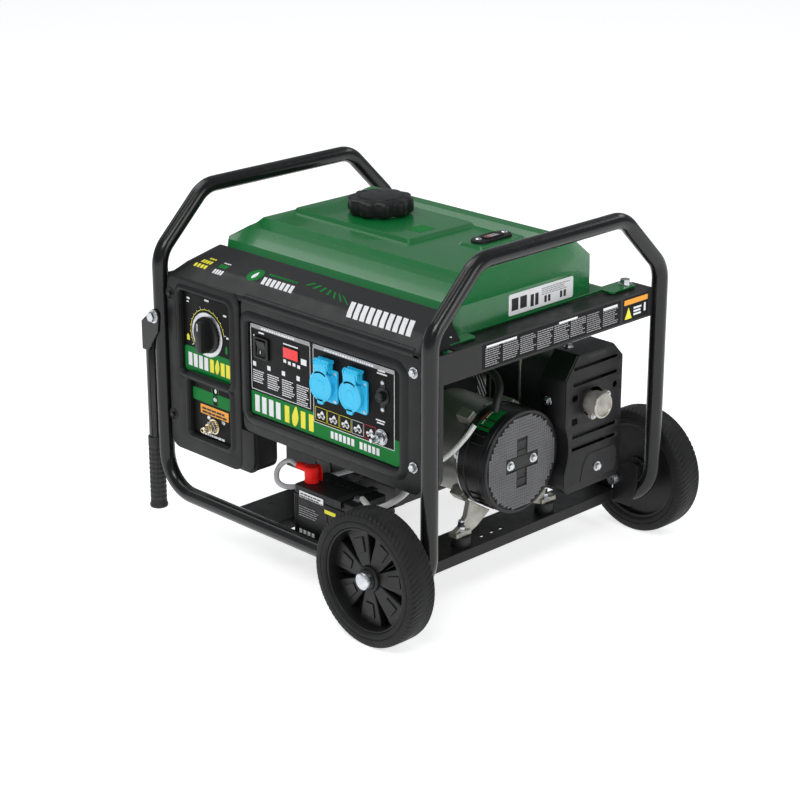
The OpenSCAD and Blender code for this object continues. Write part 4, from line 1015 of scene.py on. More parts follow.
def add_selector():
    printed_shape("selector_band", [round_rect((-239, 281), (-133, 321), 5)], "label_green")
    bars = [(-231 + 12.5 * i, 290, -222 + 12.5 * i, 311) for i in range(4)]
    printed("selector_bars", bars, "print_white", 0.1)
    bars = [(-180 + 12.5 * i, 290, -171 + 12.5 * i, 311) for i in (0, 2, 3)]
    printed("selector_bars_yellow", bars, "print_yellow", 0.1)
    printed_shape("selector_flame", [leaf((-163, 302), 24, 10, 1)], "print_yellow", 0.12)
    at = (KNOB.x, KNOB.z)
    Shape().ring(KNOB, FRONT, 28.5, 35, 1.4, 64, 0.5).piece("selector_ring", "zinc", slot="label_plates")
    printed_shape("selector_arc", [arc_band(at, 38.5, 0.9, 8, 215)], "print_yellow")
    ticks = []
    for i in range(15):
        a = math.radians(10 + 14.5 * i)
        reach = 44 if i % 7 == 0 else 41.5
        c, s = math.cos(a), math.sin(a)
        ticks.append([(at[0] + r * c - half * s, at[1] + r * s + half * c)
                      for r, half in ((38.5, 0.4), (38.5, -0.4), (reach, -0.4), (reach, 0.4))])
    printed_shape("selector_ticks", ticks, "print_white")
    printed("selector_words", [(-231, 396, -224, 399), (-189, 401, -179, 404), (-146, 386, -139, 389),
                               (-231, 391, -226, 393), (-140, 352, -135, 355)], "print_white")
    printed("selector_icons", [(-233, 330, -227, 338), (-231.5, 338, -228.5, 340)], "print_yellow")
    printed("selector_icons_green", [(-143, 328, -138, 338), (-142, 338, -139, 340)], "label_green")
    disc = KNOB - Vector((0, 0.3, 0))
    profile = [(0, 0), (25, 0), (27.5, 0.6), (28, 2), (28, 4.2), (26.5, 5.2), (22, 5.6), (20.5, 5.0),
               (0, 5.0)]

    def notches(angle, r, _height):
        return r - 0.7 if r > 26.9 and math.cos(24 * angle) > 0.3 else r

    shape = Shape().lathe(profile, disc, FRONT, 96, notches)
    shape.piece("selector_knob_disc", "moulded_black", "selector_knob", replaces="selector_knob")
    sections = []
    for depth, half, reach in ((4, 9.5, 27), (9, 8.4, 26.5), (17, 7.4, 25.5), (19.2, 6.6, 24.5),
                               (20, 5, 22.5)):
        outline = round_rect((at[0] - half, at[1] - reach), (at[0] + half, at[1] + reach),
                             min(4.5, half - 0.5))
        sections.append((outline, LABEL_Y - depth))
    grip = Shape().loft(layers("xz", sections))
    grip.piece("selector_knob_grip", "moulded_black", "selector_knob", replaces="selector_knob", angle=35)
    line = [(KNOB.x - 0.8, KNOB.z + 10, KNOB.x + 0.8, KNOB.z + 22)]
    marks("selector_knob_line", line, "xz", LABEL_Y - 20.05, "print_white", 0.2, body="selector_knob")


def add_inlet():
    printed_shape("inlet_band", [round_rect((-223, 237), (-136, 257), 3)], "label_green")
    key = circle((-170, 262), 9, 24)
    printed_shape("inlet_key", [key, round_rect((-175, 238), (-165, 262), 2, 3)], "label_black", 0.1)
    printed_shape("inlet_key_rim", [arc_band((-170, 262), 7.4, 1.2, 0, 360)], "label_green", 0.15)
    printed_shape("inlet_flame", [leaf((-169, 262), 9, 5.5)], "print_white", 0.2)
    printed_shape("inlet_label", [round_rect((-206, 218), (-140, 233), 1.5)], "print_orange")
    printed("inlet_label_text", text_lines((-202, 220), (-144, 231), 2, 0.6, 3, longest=14, shortest=6),
            "deep_black", 0.1)
    printed("inlet_words", text_lines((-202, 184), (-148, 190), 1, 0.6, 4), "print_white")
    places = [(x, LABEL_Y, z) for x, z in ((-170, 248), (-186, 215), (-152, 215))]
    add_screws("inlet_screws", places, FRONT, 4, "panel_bolts")
    profile = [(0, 0), (12, 0), (12, 1.6), (9.5, 2), (9.5, 5.4), (8.8, 6), (6, 6.2), (6, 9.5), (7.6, 9.8),
               (8, 10.4), (8, 12.4), (7.4, 13), (4.4, 13.2), (4.2, 14.6), (5.2, 16), (4.4, 19), (4.2, 19.6),
               (5.2, 21), (4.2, 24.4), (3.6, 25), (2.6, 25), (2.4, 12), (0, 12)]
    Shape().lathe(profile, GAS, FRONT, 40).piece("gas_inlet_visual", "brass", replaces="gas_inlet")
    nut = Shape()
    outline = circle((GAS.x, GAS.z), 10.4, 6, math.radians(12))
    nut.prism(outline, "xz", LABEL_Y - 8.5, LABEL_Y - 1.8)
    nut.piece("gas_inlet_nut", "zinc", slot="gas_inlet", bevel=0.8)


def add_main_label():
    green = [(-85, 250), (225, 250), (231, 256), (231, 289), (219, 289), (219, 272), (52, 272), (52, 286),
             (-85, 286)]
    printed_shape("main_green_band", [green], "label_green")
    printed("main_bars", [(-77 + 15.5 * i, 255, -67 + 15.5 * i, 281) for i in range(4)], "print_white", 0.1)
    printed("main_bars_yellow", [(-11 + 17.5 * i, 255, -1 + 17.5 * i, 281) for i in (0, 2, 3)],
            "print_yellow", 0.1)
    printed_shape("main_flame", [leaf((12, 269), 32, 14, 2)], "print_yellow", 0.12)
    printed("main_series_bars", [(88 + 8.6 * i, 256, 94 + 8.6 * i, 267) for i in range(12) if i != 6],
            "print_white", 0.1)


def add_label_frames():
    """Line frames round the two halves of the main label, with the print and signs inside them."""
    for name, low, high in (("left", (-84, 289), (46, 391)), ("right", (52, 272), (219, 391))):
        printed("frame_" + name, frame_rects(low, high, 0.9), "print_white")
        printed("frame_head_" + name, [(low[0], high[1] - 6, high[0], high[1] - 0.5)], "print_grey", 0.05)
        words = text_lines((low[0] + 24, high[1] - 5), (high[0] - 20, high[1] - 1.5), 1, 0.9, 5, longest=5)
        printed("frame_words_" + name, words, "print_white", 0.1)
    columns = []
    for i, rows in enumerate((6, 7, 8, 9)):
        left = -80 + 32 * i
        columns += text_lines((left, 322 - 3.4 * rows), (left + 28, 322), rows, 0.42, 10 + i, 0.7, 6, 2)
    printed("instruction_text", columns, "print_white")
    printed("instruction_squares", [(-80 + 32 * i, 326, -73 + 32 * i, 333) for i in range(4)], "print_white")
    printed("display_words", [(-12, 375, 20, 377), (-12, 347, -6, 352), (-2, 346, 4, 351), (8, 346, 14, 351),
                              (18, 345, 24, 350), (26, 353, 38, 362)], "print_white")
    printed("switch_words", [(-66, 379, -54, 381.5), (-78, 372, -75, 375)], "print_white")


def add_icon_boxes():
    """Five small signs in boxes under the outlets."""
    boxes = [(56 + 25.5 * i, 276, 80 + 25.5 * i, 297) for i in range(5)]
    printed_shape("icon_boxes", [round_rect(b[:2], b[2:], 2) for b in boxes], "label_black", 0.15)
    for i, (x1, z1, x2, z2) in enumerate(boxes):
        colour = "print_red" if i == 4 else "print_yellow" if i < 3 else "print_white"
        printed(f"icon_frame_{i + 1}", frame_rects((x1, z1), (x2, z2), 0.6), colour, 0.2)
        middle = (x1 + x2) / 2
        drawing = [round_rect((x1 + 4, z1 + 6), (x2 - 4, z1 + 11), 2), leaf((middle + 2, z1 + 12), 9, 8),
                   circle((x1 + 8, z1 + 6), 2.4, 16), circle((x2 - 8, z1 + 6), 2.4, 16)]
        printed_shape(f"icon_{i + 1}", drawing, "print_white", 0.2)
    printed("breaker_words", [(186, 383, 200, 385), (184, 379, 204, 381), (182, 309, 200, 311),
                              (184, 305, 198, 307)],
            "print_white")


def add_display():
    low, high = (-13, 354), (21, 372)
    bezel = [round_rect(low, high, 1.5), inset_rect(low, high, 1, 1)]
    plate("display_bezel", bezel, "xz", LABEL_Y - 1.2, LABEL_Y, "moulded_black",
          edge=0.3)
    plate("display_window", [inset_rect(low, high, 0.8, 1)], "xz", LABEL_Y - 0.9, LABEL_Y, "display_red",
          edge=0.3)


def add_rocker():
    bezel = [round_rect((-76, 340), (-44, 374), 3), round_rect((-71, 343.5), (-49, 370.5), 2)]
    plate("rocker_bezel", bezel, "xz", LABEL_Y - 3, LABEL_Y, "moulded_black", edge=0.9)
    x, z = ROCKER.x, ROCKER.z
    side = [(LABEL_Y + 6, z - 11), (LABEL_Y - 3, z - 12), (LABEL_Y - 2.2, z - 9), (LABEL_Y - 1.2, z),
            (LABEL_Y - 3.5, z + 9), (LABEL_Y - 5.2, z + 12), (LABEL_Y + 6, z + 11)]
    rocker = Shape().prism(side, "yz", x - 9.5, x + 9.5)
    rocker.piece("start_rocker_visual", "moulded_black", "start_rocker", replaces="start_rocker", bevel=0.8,
                 segments=3, angle=12)
    marks("rocker_mark", [(x - 0.5, z - 8, x + 0.5, z - 3.5)], "xz", LABEL_Y - 2.6, "print_white", 0.5,
          body="start_rocker")


def hinge_pin(at):
    """Y and Z of the pin that an outlet's lid swings on."""
    return LABEL_Y - 9, at.z + 34


def add_socket_base(at, name):
    """Flange with a sunken round well, its contacts, hinge ears and screws."""
    flange = [round_rect((at.x - 25, at.z - 25), (at.x + 25, at.z + 25), 4), circle((at.x, at.z), 19.8, 64)]
    plate(name + "_flange", flange, "xz", LABEL_Y - 4, LABEL_Y, "socket_blue", replaces="socket_bases",
          edge=0.9)
    profile = [(19.6, 3), (19.6, -9.5), (20.0, -10), (21, -10), (21.5, -9.4), (21.5, -4.6), (22.6, -3.4),
               (22.6, 3)]
    collar = Shape().lathe([(r, -h) for r, h in profile], at, FRONT, 64)
    collar.piece(name + "_collar", "socket_blue", replaces="socket_bases")
    well = Shape().lathe([(0, -6.2), (20.2, -6.2), (20.2, 2), (19.7, 2), (19.7, -5.6), (0, -5.6)], at,
                         FRONT, 64)
    well.piece(name + "_well", "socket_blue", replaces="socket_bases")
    contacts = Shape()
    for side in (-1, 1):
        contacts.ring((at.x + side * 9.5, LABEL_Y + 5.7, at.z), FRONT, 2.5, 3.6, 0.8, 24, 0.2)
        earth_z = at.z + side * 18.4
        contacts.box((at.x - 3, LABEL_Y - 8, earth_z - 0.9), (at.x + 3, LABEL_Y + 5, earth_z + 0.9))
    contacts.piece(name + "_contacts", "zinc", slot="socket_bases")
    ears = Shape()
    pin_y, pin_z = hinge_pin(at)
    for side in (-1, 1):
        x1, x2 = sorted((at.x + side * 12.5, at.x + side * 15))
        outline = [(LABEL_Y, at.z + 20), (pin_y, at.z + 20), (LABEL_Y - 13, at.z + 27)]
        outline += [(pin_y - 5 * math.cos(math.radians(t)), pin_z + 5 * math.sin(math.radians(t)))
                    for t in range(0, 181, 20)]
        ears.prism(outline + [(LABEL_Y, at.z + 36)], "yz", x1, x2)
    ears.rod((at.x - 15, pin_y, pin_z), (at.x + 15, pin_y, pin_z), 1.5, 16, 0.2)
    ears.box((at.x - 15, LABEL_Y - 3, at.z + 20), (at.x + 15, LABEL_Y - 0.2, at.z + 39))
    ears.piece(name + "_hinge", "socket_blue", replaces="socket_bases", bevel=0.4)
    places = [(at.x + sx * 20.6, LABEL_Y - 4, at.z + sz * 20.6) for sx in (-1, 1) for sz in (-1, 1)]
    add_screws(name + "_screws", places, FRONT, 2.4, "socket_bases")


def add_socket_lid(at, body):
    """Round lid with a hinge strap over it and a lip to lift it by."""
    pin_y, pin_z = hinge_pin(at)
    disc = [(0, 11.6), (23, 11.6), (23, 13.6), (22.2, 14.5), (19.6, 14.5), (18.8, 13.9), (9, 13.9),
            (8.2, 14.4), (0, 14.4)]
    Shape().lathe(disc, at, FRONT, 72).piece(body + "_disc", "socket_blue", body, replaces=body)
    rows = []
    for depth, inset in ((11.6, 0), (14, 0), (14.5, 0.5)):
        outline = [(-12 + inset, 10), (12 - inset, 10), (12 - inset, 30), (10, 33), (-10, 33),
                   (-12 + inset, 30)]
        rows.append([Vector((at.x + u, LABEL_Y - depth, at.z + v)) for u, v in outline])
    strap = Shape().loft(rows)
    strap.prism(round_rect((at.x - 6, at.z - 27), (at.x + 6, at.z - 18), 2.4), "xz", LABEL_Y - 14.5,
                LABEL_Y - 11.6)
    for u in (-8.4, -2.8, 2.8, 8.4):
        strap.rod((at.x + u - 2, pin_y, pin_z), (at.x + u + 2, pin_y, pin_z), 5.5, 24, 0.6)
    strap.rod((at.x - 12, pin_y, pin_z), (at.x + 12, pin_y, pin_z), 4.7, 24, 0.4)
    strap.piece(body + "_strap", "socket_blue", body, replaces=body, bevel=0.35)


def add_breaker():
    x, z = BREAKER.x, BREAKER.z
    collar = Shape().ring(BREAKER, FRONT, 7.6, 13, 2.0, 48, 0.7)
    collar.piece("breaker_collar", "moulded_black", slot="control_panel")
    ears = [round_rect((x - 5, z - 25), (x + 5, z + 25), 4.8), circle((x, z), 12, 40)]
    plate("breaker_plate", ears, "xz", LABEL_Y - 1, LABEL_Y, "moulded_black", edge=0.3)
    add_screws("breaker_screws", [(x, LABEL_Y - 1, z - 20), (x, LABEL_Y - 1, z + 20)], FRONT, 3.2,
               "panel_bolts")
    profile = [(0, -8), (7, -8), (7, 8.4), (6.2, 9.6), (5, 10), (4.2, 9.4), (0, 9.2)]
    button = Shape().lathe(profile, BREAKER, FRONT, 48)
    button.piece("breaker_button_visual", "moulded_black", "breaker_button", replaces="breaker_button")


def add_ground_terminal():
    x, y, z = GROUND
    stud = Shape().lathe([(0, 0), (4, 0), (4, 2), (3.4, 12.8), (3.5, 13.1), (3.2, 21.6), (2.8, 22),
                          (0, 22)], GROUND,
                         FRONT, 28)
    for i in range(7):
        stud.ring((x, y - 1.2 - 1.7 * i, z), FRONT, 3.3, 4.0, 1.0, 24, 0.3)
    stud.piece("ground_stud_visual", "zinc", replaces="ground_stud")
    washers = Shape().ring((x, y, z), FRONT, 4.1, 12, 1.4, 40, 0.3)
    washers.ring((x, y - 1.5, z), FRONT, 4.1, 10.4, 1.3, 40, 0.3)
    washers.piece("ground_washers", "zinc", slot="ground_stud")
    nut = Shape().lathe([(4.05, 3.3), (6.6, 3.3), (7, 3.8), (6.2, 11.4), (5.6, 12), (4.05, 12)], GROUND,
                        FRONT, 32)
    for side in (-1, 1):
        outline = [(5.2, -3), (8.4, -3.4), (12, -1.2), (13.2, 2.2), (12.4, 5.0), (9.6, 5.4), (7.2, 3.4),
                   (5.2, 3)]
        nut.prism([(x + side * u, z + v) for u, v in outline], "xz", y - 9.6, y - 6.2)
    nut.piece("ground_nut_visual", "zinc", "ground_nut", replaces="ground_nut", bevel=0.5)


def add_panel_bolts():
    """Bright bolts on the right; dark ones on the left in keyhole-shaped pocket hollows, which are painted
    shade on the face.
    """
    bolts, pocket_shade, sleeves = Shape(), Shape(), Shape()
    for x, z in RIGHT_BOLTS + LEFT_BOLTS:
        bolts.rod((x, PANEL_FACE - 1, z), (x, TAB_Y + 8, z), 3, 16)
    for x, z in RIGHT_BOLTS:
        bolts.bolt((x, PANEL_FACE, z), FRONT, 6.0)
        sleeves.ring((x, PANEL_FACE + 0.2, z), FRONT, 8.6, 10.4, 0.5, 40, 0.15)
    heads = Shape()
    for x, z in LEFT_BOLTS:
        # Painted shade: each keyhole pocket is a flat, very dark sheet on the face, not a hollow.
        slot = [circle((x, z), 8, 32), round_rect((x - 3.5, z - 13), (x + 3.5, z), 3.4)]
        for outline in slot:
            pocket_shade.prism(outline, "xz", LEFT_FACE - 0.12, LEFT_FACE + 0.2)
        heads.bolt((x, PANEL_FACE - 2.4, z), FRONT, 4.2)
        sleeves.ring((x, PANEL_FACE - 2.4, z), FRONT, 7.8, 9.6, 1.0, 40, 0.4)
    bolts.piece("panel_bolts_visual", "zinc", replaces="panel_bolts")
    pocket_shade.piece("panel_bolt_pockets", "deep_black", slot="control_panel")
    heads.piece("panel_bolt_heads", "moulded_black", slot="panel_bolts")
    sleeves.piece("panel_bolt_rings", "panel_black", slot="control_panel")


def cowl_marks(name, outlines, finish_name):
    """Flat marks laid on the sloping cowl: outlines are in X and Y."""
    shape = Shape()
    for outline in outlines:
        rows = [[Vector((x, y, cowl_height(x, y) + lift)) for x, y in outline] for lift in (-0.2, 0.35)]
        shape.loft(rows)
    shape.piece(name, finish_name)


def cowl_strips(name, strips, finish_name):
    """Slanting bars that follow the cowl: each is (x, y, width, depth, lean), cut into short lengths."""
    shape = Shape()
    for x, y, width, depth, lean in strips:
        steps = max(1, round(depth / 2.5))
        rows = []
        for i in range(steps + 1):
            t = i / steps
            at_y, at_x = y + depth * t, x + lean * depth * t
            rows.append([Vector((u, at_y, cowl_height(u, at_y) + lift)) for u, lift in
                         ((at_x, -0.3), (at_x + width, -0.3), (at_x + width, 0.45), (at_x, 0.45))])
        shape.loft(rows)
    shape.piece(name, finish_name)


def bars_on_cowl(low, high, count, fill=0.7):
    """Outlines of a row of upright bars that fill their share of a rectangle."""
    step = (high[0] - low[0]) / count
    sides = [(low[0] + step * i, low[0] + step * (i + fill)) for i in range(count)]
    return [[(x1, low[1]), (x2, low[1]), (x2, high[1]), (x1, high[1])] for x1, x2 in sides]


def add_cowl_print():
    small = bars_on_cowl((-236, -224), (-206, -218), 4) + bars_on_cowl((-230, -214), (-206, -207), 4)
    cowl_marks("cowl_small_yellow", small + bars_on_cowl((-222, -203), (-206, -200), 3), "print_yellow")
    cowl_marks("cowl_small_green", bars_on_cowl((-190, -214), (-172, -206), 2, fill=0.9), "label_green")
    cowl_marks("cowl_small_white", bars_on_cowl((-190, -226), (-168, -219), 4) +
               bars_on_cowl((-188, -203), (-172, -201), 4), "print_white")
    cowl_marks("cowl_badge", [circle((-112, -207), 14, 28)], "label_green")
    cowl_marks("cowl_badge_dot", [leaf((-112, -207), 16, 8)], "print_white")
    cowl_marks("cowl_bars_top", bars_on_cowl((-92, -199), (-28, -195), 10), "label_green")
    cowl_strips("cowl_bars", [(-86 + 10 * i, -220, 7, 15, -0.5) for i in range(7)], "print_white")
    cowl_strips("cowl_streaks", [(-14 + 17 * k, -196 - 2.2 * k, 6 - 0.5 * k, 9 + k, 1.0 - 0.45 * k)
                                 for k in range(7)], "label_green")
    cowl_strips("cowl_name_bars", [(106 + 13.2 * i, -228, 9.4, 28, -0.62) for i in range(10)], "print_white")


add_selector()
add_inlet()
add_main_label()
add_label_frames()
add_icon_boxes()
add_display()
add_rocker()
for number, place in enumerate(SOCKETS, 1):
    add_socket_base(place, f"socket_{number}")
    add_socket_lid(place, f"socket_lid_{number}")
add_breaker()
add_ground_terminal()
add_panel_bolts()
add_cowl_print()


# ---------------------------------------------------------------- wheels and handles

WHEEL_R = (high_mm("front_tyre").z - low_mm("front_tyre").z) / 2
WHEEL_W = high_mm("front_tyre").y - low_mm("front_tyre").y
RIM_R = 78
HUB_R = 21
HUB_OUT = 312
LUGS = 76
TREAD_DEPTH = 2.0
TREAD_STEPS = 528
SPOKES = 7
SPOKE_START = 0.2


def tyre_radius(angle, r, y):
    """Cuts fine slanting grooves into the tread, deeper towards its shoulders."""
    if r < WHEEL_R - 5:
        return r
    across = abs(y) / (WHEEL_W / 2)
    turn = angle / math.tau * LUGS
    lug = (turn + 1.4 * across ** 1.5 * (1 if y > 0 else -1)) % 1.0
    groove = min(1.0, max(0.0, (abs(lug - 0.5) - 0.38) / 0.08))
    return r - TREAD_DEPTH * groove * ease(0.05, 0.7, across)


def add_tyre(node, rim_node):
    half = WHEEL_W / 2
    section = [(RIM_R - 1, half - 5), (RIM_R, half - 2), (RIM_R + 1.4, half - 0.6), (RIM_R + 4, half - 0.1),
               (RIM_R + 8, half - 0.3), (RIM_R + 8.8, half - 1.1), (RIM_R + 9.6, half - 0.3),
               (WHEEL_R - 5, half - 0.6), (WHEEL_R - 2.4, half - 1.6), (WHEEL_R - 1, half - 3.2),
               (WHEEL_R - 0.4, half - 6.0)]
    steps = 14
    tread = []
    for i in range(1, steps):
        y = (half - 6.0) * (1 - 2 * i / steps)
        tread.append((WHEEL_R - 0.4 * (y / (half - 6.0)) ** 2, y))
    profile = section + tread + [(r, -y) for r, y in reversed(section)]
    tyre = Shape().lathe(profile, centre_mm(node), (0, 1, 0), TREAD_STEPS, tyre_radius)
    tyre.piece(node + "_visual", "tyre", rim_node.replace("rim", "wheel"), replaces=node, angle=40)


def add_rim(node, side):
    """Rim with broad flat spokes and a raised panel on each, webs between them, and a disc behind."""
    body = node.replace("rim", "wheel")
    at = Vector((centre_mm(node).x, centre_mm(node.replace("rim", "tyre")).y, centre_mm(node).z))
    outward = (0, side, 0)
    half = WHEEL_W / 2
    hub_out = HUB_OUT - abs(at.y)
    ring = [(RIM_R - 5, -half + 5), (RIM_R, -half + 4), (RIM_R, half - 5), (RIM_R - 1, half - 3.4),
            (RIM_R - 2.4, half - 3.0), (RIM_R - 3.6, half - 4), (RIM_R - 4.6, half - 8),
            (RIM_R - 6, half - 16)]
    shape = Shape().lathe(ring, at, outward, 120)
    hub = [(8.05, -16), (HUB_R, -16), (HUB_R, 3), (HUB_R - 2, hub_out - 5), (15.6, hub_out - 3.4),
           (15.2, hub_out - 1), (12.4, hub_out), (8.05, hub_out)]
    shape.lathe(hub, at, outward, 72)
    shape.lathe([(HUB_R - 1, -11), (RIM_R - 5, -11), (RIM_R - 5, -8), (HUB_R - 1, -8)], at, outward, 96)
    shape.piece(node + "_rings", "moulded_black", body, replaces=node, bevel=0.7)
    spokes = Shape()
    turn = Vector(UP).rotation_difference(Vector(outward)).to_matrix()

    def turned(angle, rows):
        """Rows of points along a spoke, brought to its angle on the wheel."""
        spin = Matrix.Rotation(angle + SPOKE_START, 3, "Z")
        return [[at + turn @ (spin @ Vector(p)) for p in row] for row in rows]

    beam = [[(u, -wide, -4), (u, wide, -4), (u, wide, high - 1.2), (u, wide - 1.2, high),
             (u, 1.2 - wide, high), (u, -wide, high - 1.2)]
            for u, wide, high in ((15, 8, 8.5), (22, 10, 9.0), (34, 13.5, 8.6), (48, 17, 7.4), (60, 20, 6.6),
                                  (RIM_R - 3, 22.5, 6.4))]
    panel = [[(38, -wide_in, 8.2 + lift), (38, wide_in, 8.2 + lift), (60, wide_out, 6.8 + lift),
              (60, -wide_out, 6.8 + lift)] for wide_in, wide_out, lift in ((7.4, 9.6, 0), (6.8, 9.0, 1.8))]
    web = [[(u, -1, -8), (u, 1, -8), (u, 1, top), (u, -1, top)] for u, top in ((18, 2), (RIM_R - 5, -2))]
    for i in range(SPOKES):
        for angle, rows in ((i, beam), (i, panel), (i + 0.5, web)):
            spokes.loft(turned(math.tau * angle / SPOKES, rows))
    spokes.piece(node + "_spokes", "moulded_black", body, replaces=node, bevel=0.6)


def add_axle_trim():
    """Domed cap over the hexagonal head of each axle bolt."""
    shape = Shape()
    x, z = centre_mm("front_rim").x, centre_mm("front_rim").z
    for side in (-1, 1):
        shape.lathe([(0, -2), (14, -2), (14, 3), (13.6, 4.6), (13, 6.6), (12.2, 8.2), (10.4, 9.2), (0, 9.4)],
                    (x, side * (HUB_OUT - 0.4), z), (0, side, 0), 40)
    shape.piece("axle_tip_caps", "zinc", slot="axle_bolts")


def add_grip(node, body):
    x, y = centre_mm(node).x, centre_mm(node).y
    low = low_mm(node).z
    top = high_mm(node).z - low
    profile = [(0, 0), (12.5, 0), (14.0, 0.8), (14.5, 2), (14.5, 5.4), (13.8, 6.8), (13.2, 8)]
    z = 12.0
    while z < top - 14:
        profile += [(13.2, z), (12.5, z + 1.2), (12.5, z + 2.6), (13.2, z + 3.8)]
        z += 8.0
    profile += [(13.2, top - 6), (13.2, top - 1), (12.4, top), (11, top), (11, 4), (0, 4)]

    def flutes(angle, r, height):
        if 8 < height < top - 8 and r > 12:
            return r - 0.5 * max(0.0, math.cos(12 * angle))
        return r

    grip = Shape().lathe(profile, (x, y, low), UP, 96, flutes)
    grip.piece(node + "_visual", "rubber", body, replaces=node)


for side, label in ((-1, "front"), (1, "rear")):
    add_tyre(f"{label}_tyre", f"{label}_rim")
    add_rim(f"{label}_rim", side)
    add_grip(f"{label}_grip", f"{label}_handle")
add_axle_trim()


# ---------------------------------------------------------------- battery

def add_battery():
    low, high = low_mm("battery"), high_mm("battery")
    x1, y1, z1 = low
    x2, y2 = high.x, high.y
    top = high.z - 5
    box = [round_rect((x1, y1), (x2, y2), 3.5, 4)]
    plate("battery_case", box, "xy", z1, top - 14, "battery_black", replaces="battery", edge=1.2)
    lid = [round_rect((x1 + 1.5, y1 + 1.5), (x2 - 1.5, y2 - 1.5), 3, 4)]
    plate("battery_lid", lid, "xy", top - 14.4, top, "battery_black", replaces="battery", edge=1.4)
    ribs = Shape()
    for x in (x1 + 5, x1 + 9, x2 - 9, x2 - 5, (x1 + x2) / 2 + 8):
        ribs.box((x - 0.8, y1 - 0.9, z1 + 4), (x + 0.8, y1 + 1, top - 20))
    for z in (z1 + 6, top - 19):
        ribs.box((x1 + 3, y1 - 0.7, z), (x2 - 3, y1 + 1, z + 1.6))
    for x in (x1 + 30, x1 + 52, x1 + 74):
        ribs.lathe([(0, 0), (7, 0), (7, 0.6), (6, 1.2), (0, 1.2)], (x, y2 - 22, top), UP, 28)
    ribs.piece("battery_ribs", "battery_black", slot="battery", bevel=0.3)
    terminals = Shape()
    for x in (x1 + 15, x2 - 15):
        terminals.box((x - 7, y1 + 17, top), (x + 7, y1 + 31, top + 1.5))
        terminals.box((x - 6, y1 + 20, top + 1), (x + 6, y1 + 28, top + 5))
    terminals.bolt((x2 - 15, y1 + 24, top + 3.4), UP, 2.2, False)
    terminals.piece("battery_terminals", "zinc", replaces="battery", bevel=0.3)
    face = y1 - 0.95
    marks("battery_label", [(x1 + 14, top - 17.6, x1 + 66, top - 7)], "xz", y1 + 0.6, "print_white", 0.6)
    marks("battery_label_text", text_lines((x1 + 16, top - 16), (x1 + 62, top - 8), 2, 0.55, 21), "xz",
          y1 - 0.05, "deep_black", 0.1)
    marks("battery_yellow", [(x1 + 70, top - 27, x1 + 94, top - 21)], "xz", face, "print_yellow", 0.2)
    marks("battery_small_print", text_lines((x1 + 14, top - 46), (x1 + 60, top - 28), 5, 0.3, 22), "xz",
          face, "print_grey", 0.2)
    icons = [(x1 + 14 + 9 * i, z1 + 14, x1 + 20 + 9 * i, z1 + 20) for i in range(4)]
    marks("battery_icons", icons + text_lines((x1 + 70, z1 + 12), (x1 + 110, z1 + 30), 3, 0.3, 23), "xz",
          face, "print_white", 0.2)


def add_terminal_boot():
    low, high = low_mm("terminal_boot"), high_mm("terminal_boot")
    at = Vector((high.x - 11, centre_mm("terminal_boot").y + 0.5, low.z))
    profile = [(0, 4), (9.8, 4), (9.8, 0), (11, 0), (11, 5.5), (10.4, 7), (11, 9), (11, 22), (9.8, 25),
               (7, 26), (0, 26)]
    cup = Shape().lathe(profile, at, UP, 48)
    cup.piece("terminal_boot_cup", "boot_red", replaces="terminal_boot", bevel=0.5)
    along = Vector((-math.cos(math.radians(6)), -math.sin(math.radians(6)), 0))
    start = Vector((at.x, at.y, low.z + 20))
    spout = [(0, 4), (6.4, 4), (6.4, 12), (6.0, 13), (6.4, 14), (6.4, 16), (5.9, 17), (6.3, 18), (6.2, 21),
             (5.6, 22), (6.0, 23), (5.6, 27), (4.6, 28), (4.1, 28), (4.1, 20), (0, 20)]
    Shape().lathe(spout, start, along, 36).piece("terminal_boot_spout", "boot_red", replaces="terminal_boot")
    rows = []
    for k, (rise, wide) in enumerate(((0.2, 9), (5, 9.6), (12, 9), (19, 7), (24, 4))):
        y, z = at.y + 11.5 + 0.5 * k, low.z + rise
        rows.append([(at.x - wide, y, z), (at.x + wide, y, z), (at.x + wide, y + 2, z),
                     (at.x - wide, y + 2, z)])
    flap = Shape().loft(rows)
    flap.piece("terminal_boot_flap", "boot_red", slot="terminal_boot", bevel=0.6)


add_battery()
add_terminal_boot()
dress("battery_tray", "powder_black", 0.5)


# ---------------------------------------------------------------- alternator

CRANK_Z = centre_mm("rotor").z
BELL_X = low_mm("end_bell").x
COVER_X = high_mm("end_bell").x
COVER_R = (high_mm("end_bell").z - low_mm("end_bell").z) / 2
FOOT_Z = low_mm("alternator_foot").z
FOOT_THICK = 8
MOUNT_X, MOUNT_Y = 205, 92   # the rubber mounts under the alternator
STATOR_R = 75.0
MESH_PITCH = 4.6
MESH_GAP = 0.45


def cell_squares(reach):
    """Middles of the squares of a grid inside a circle, leaving out a cross."""
    count = int(reach / MESH_PITCH) + 1
    places = []
    for i in range(-count, count + 1):
        for j in range(-count, count + 1):
            y, z = i * MESH_PITCH, j * MESH_PITCH
            in_cross = (abs(y) < 11 and abs(z) < 41) or (abs(z) < 11 and abs(y) < 36)
            if math.hypot(abs(y) + MESH_PITCH / 2, abs(z) + MESH_PITCH / 2) < reach and not in_cross:
                places.append((y, z))
    return places


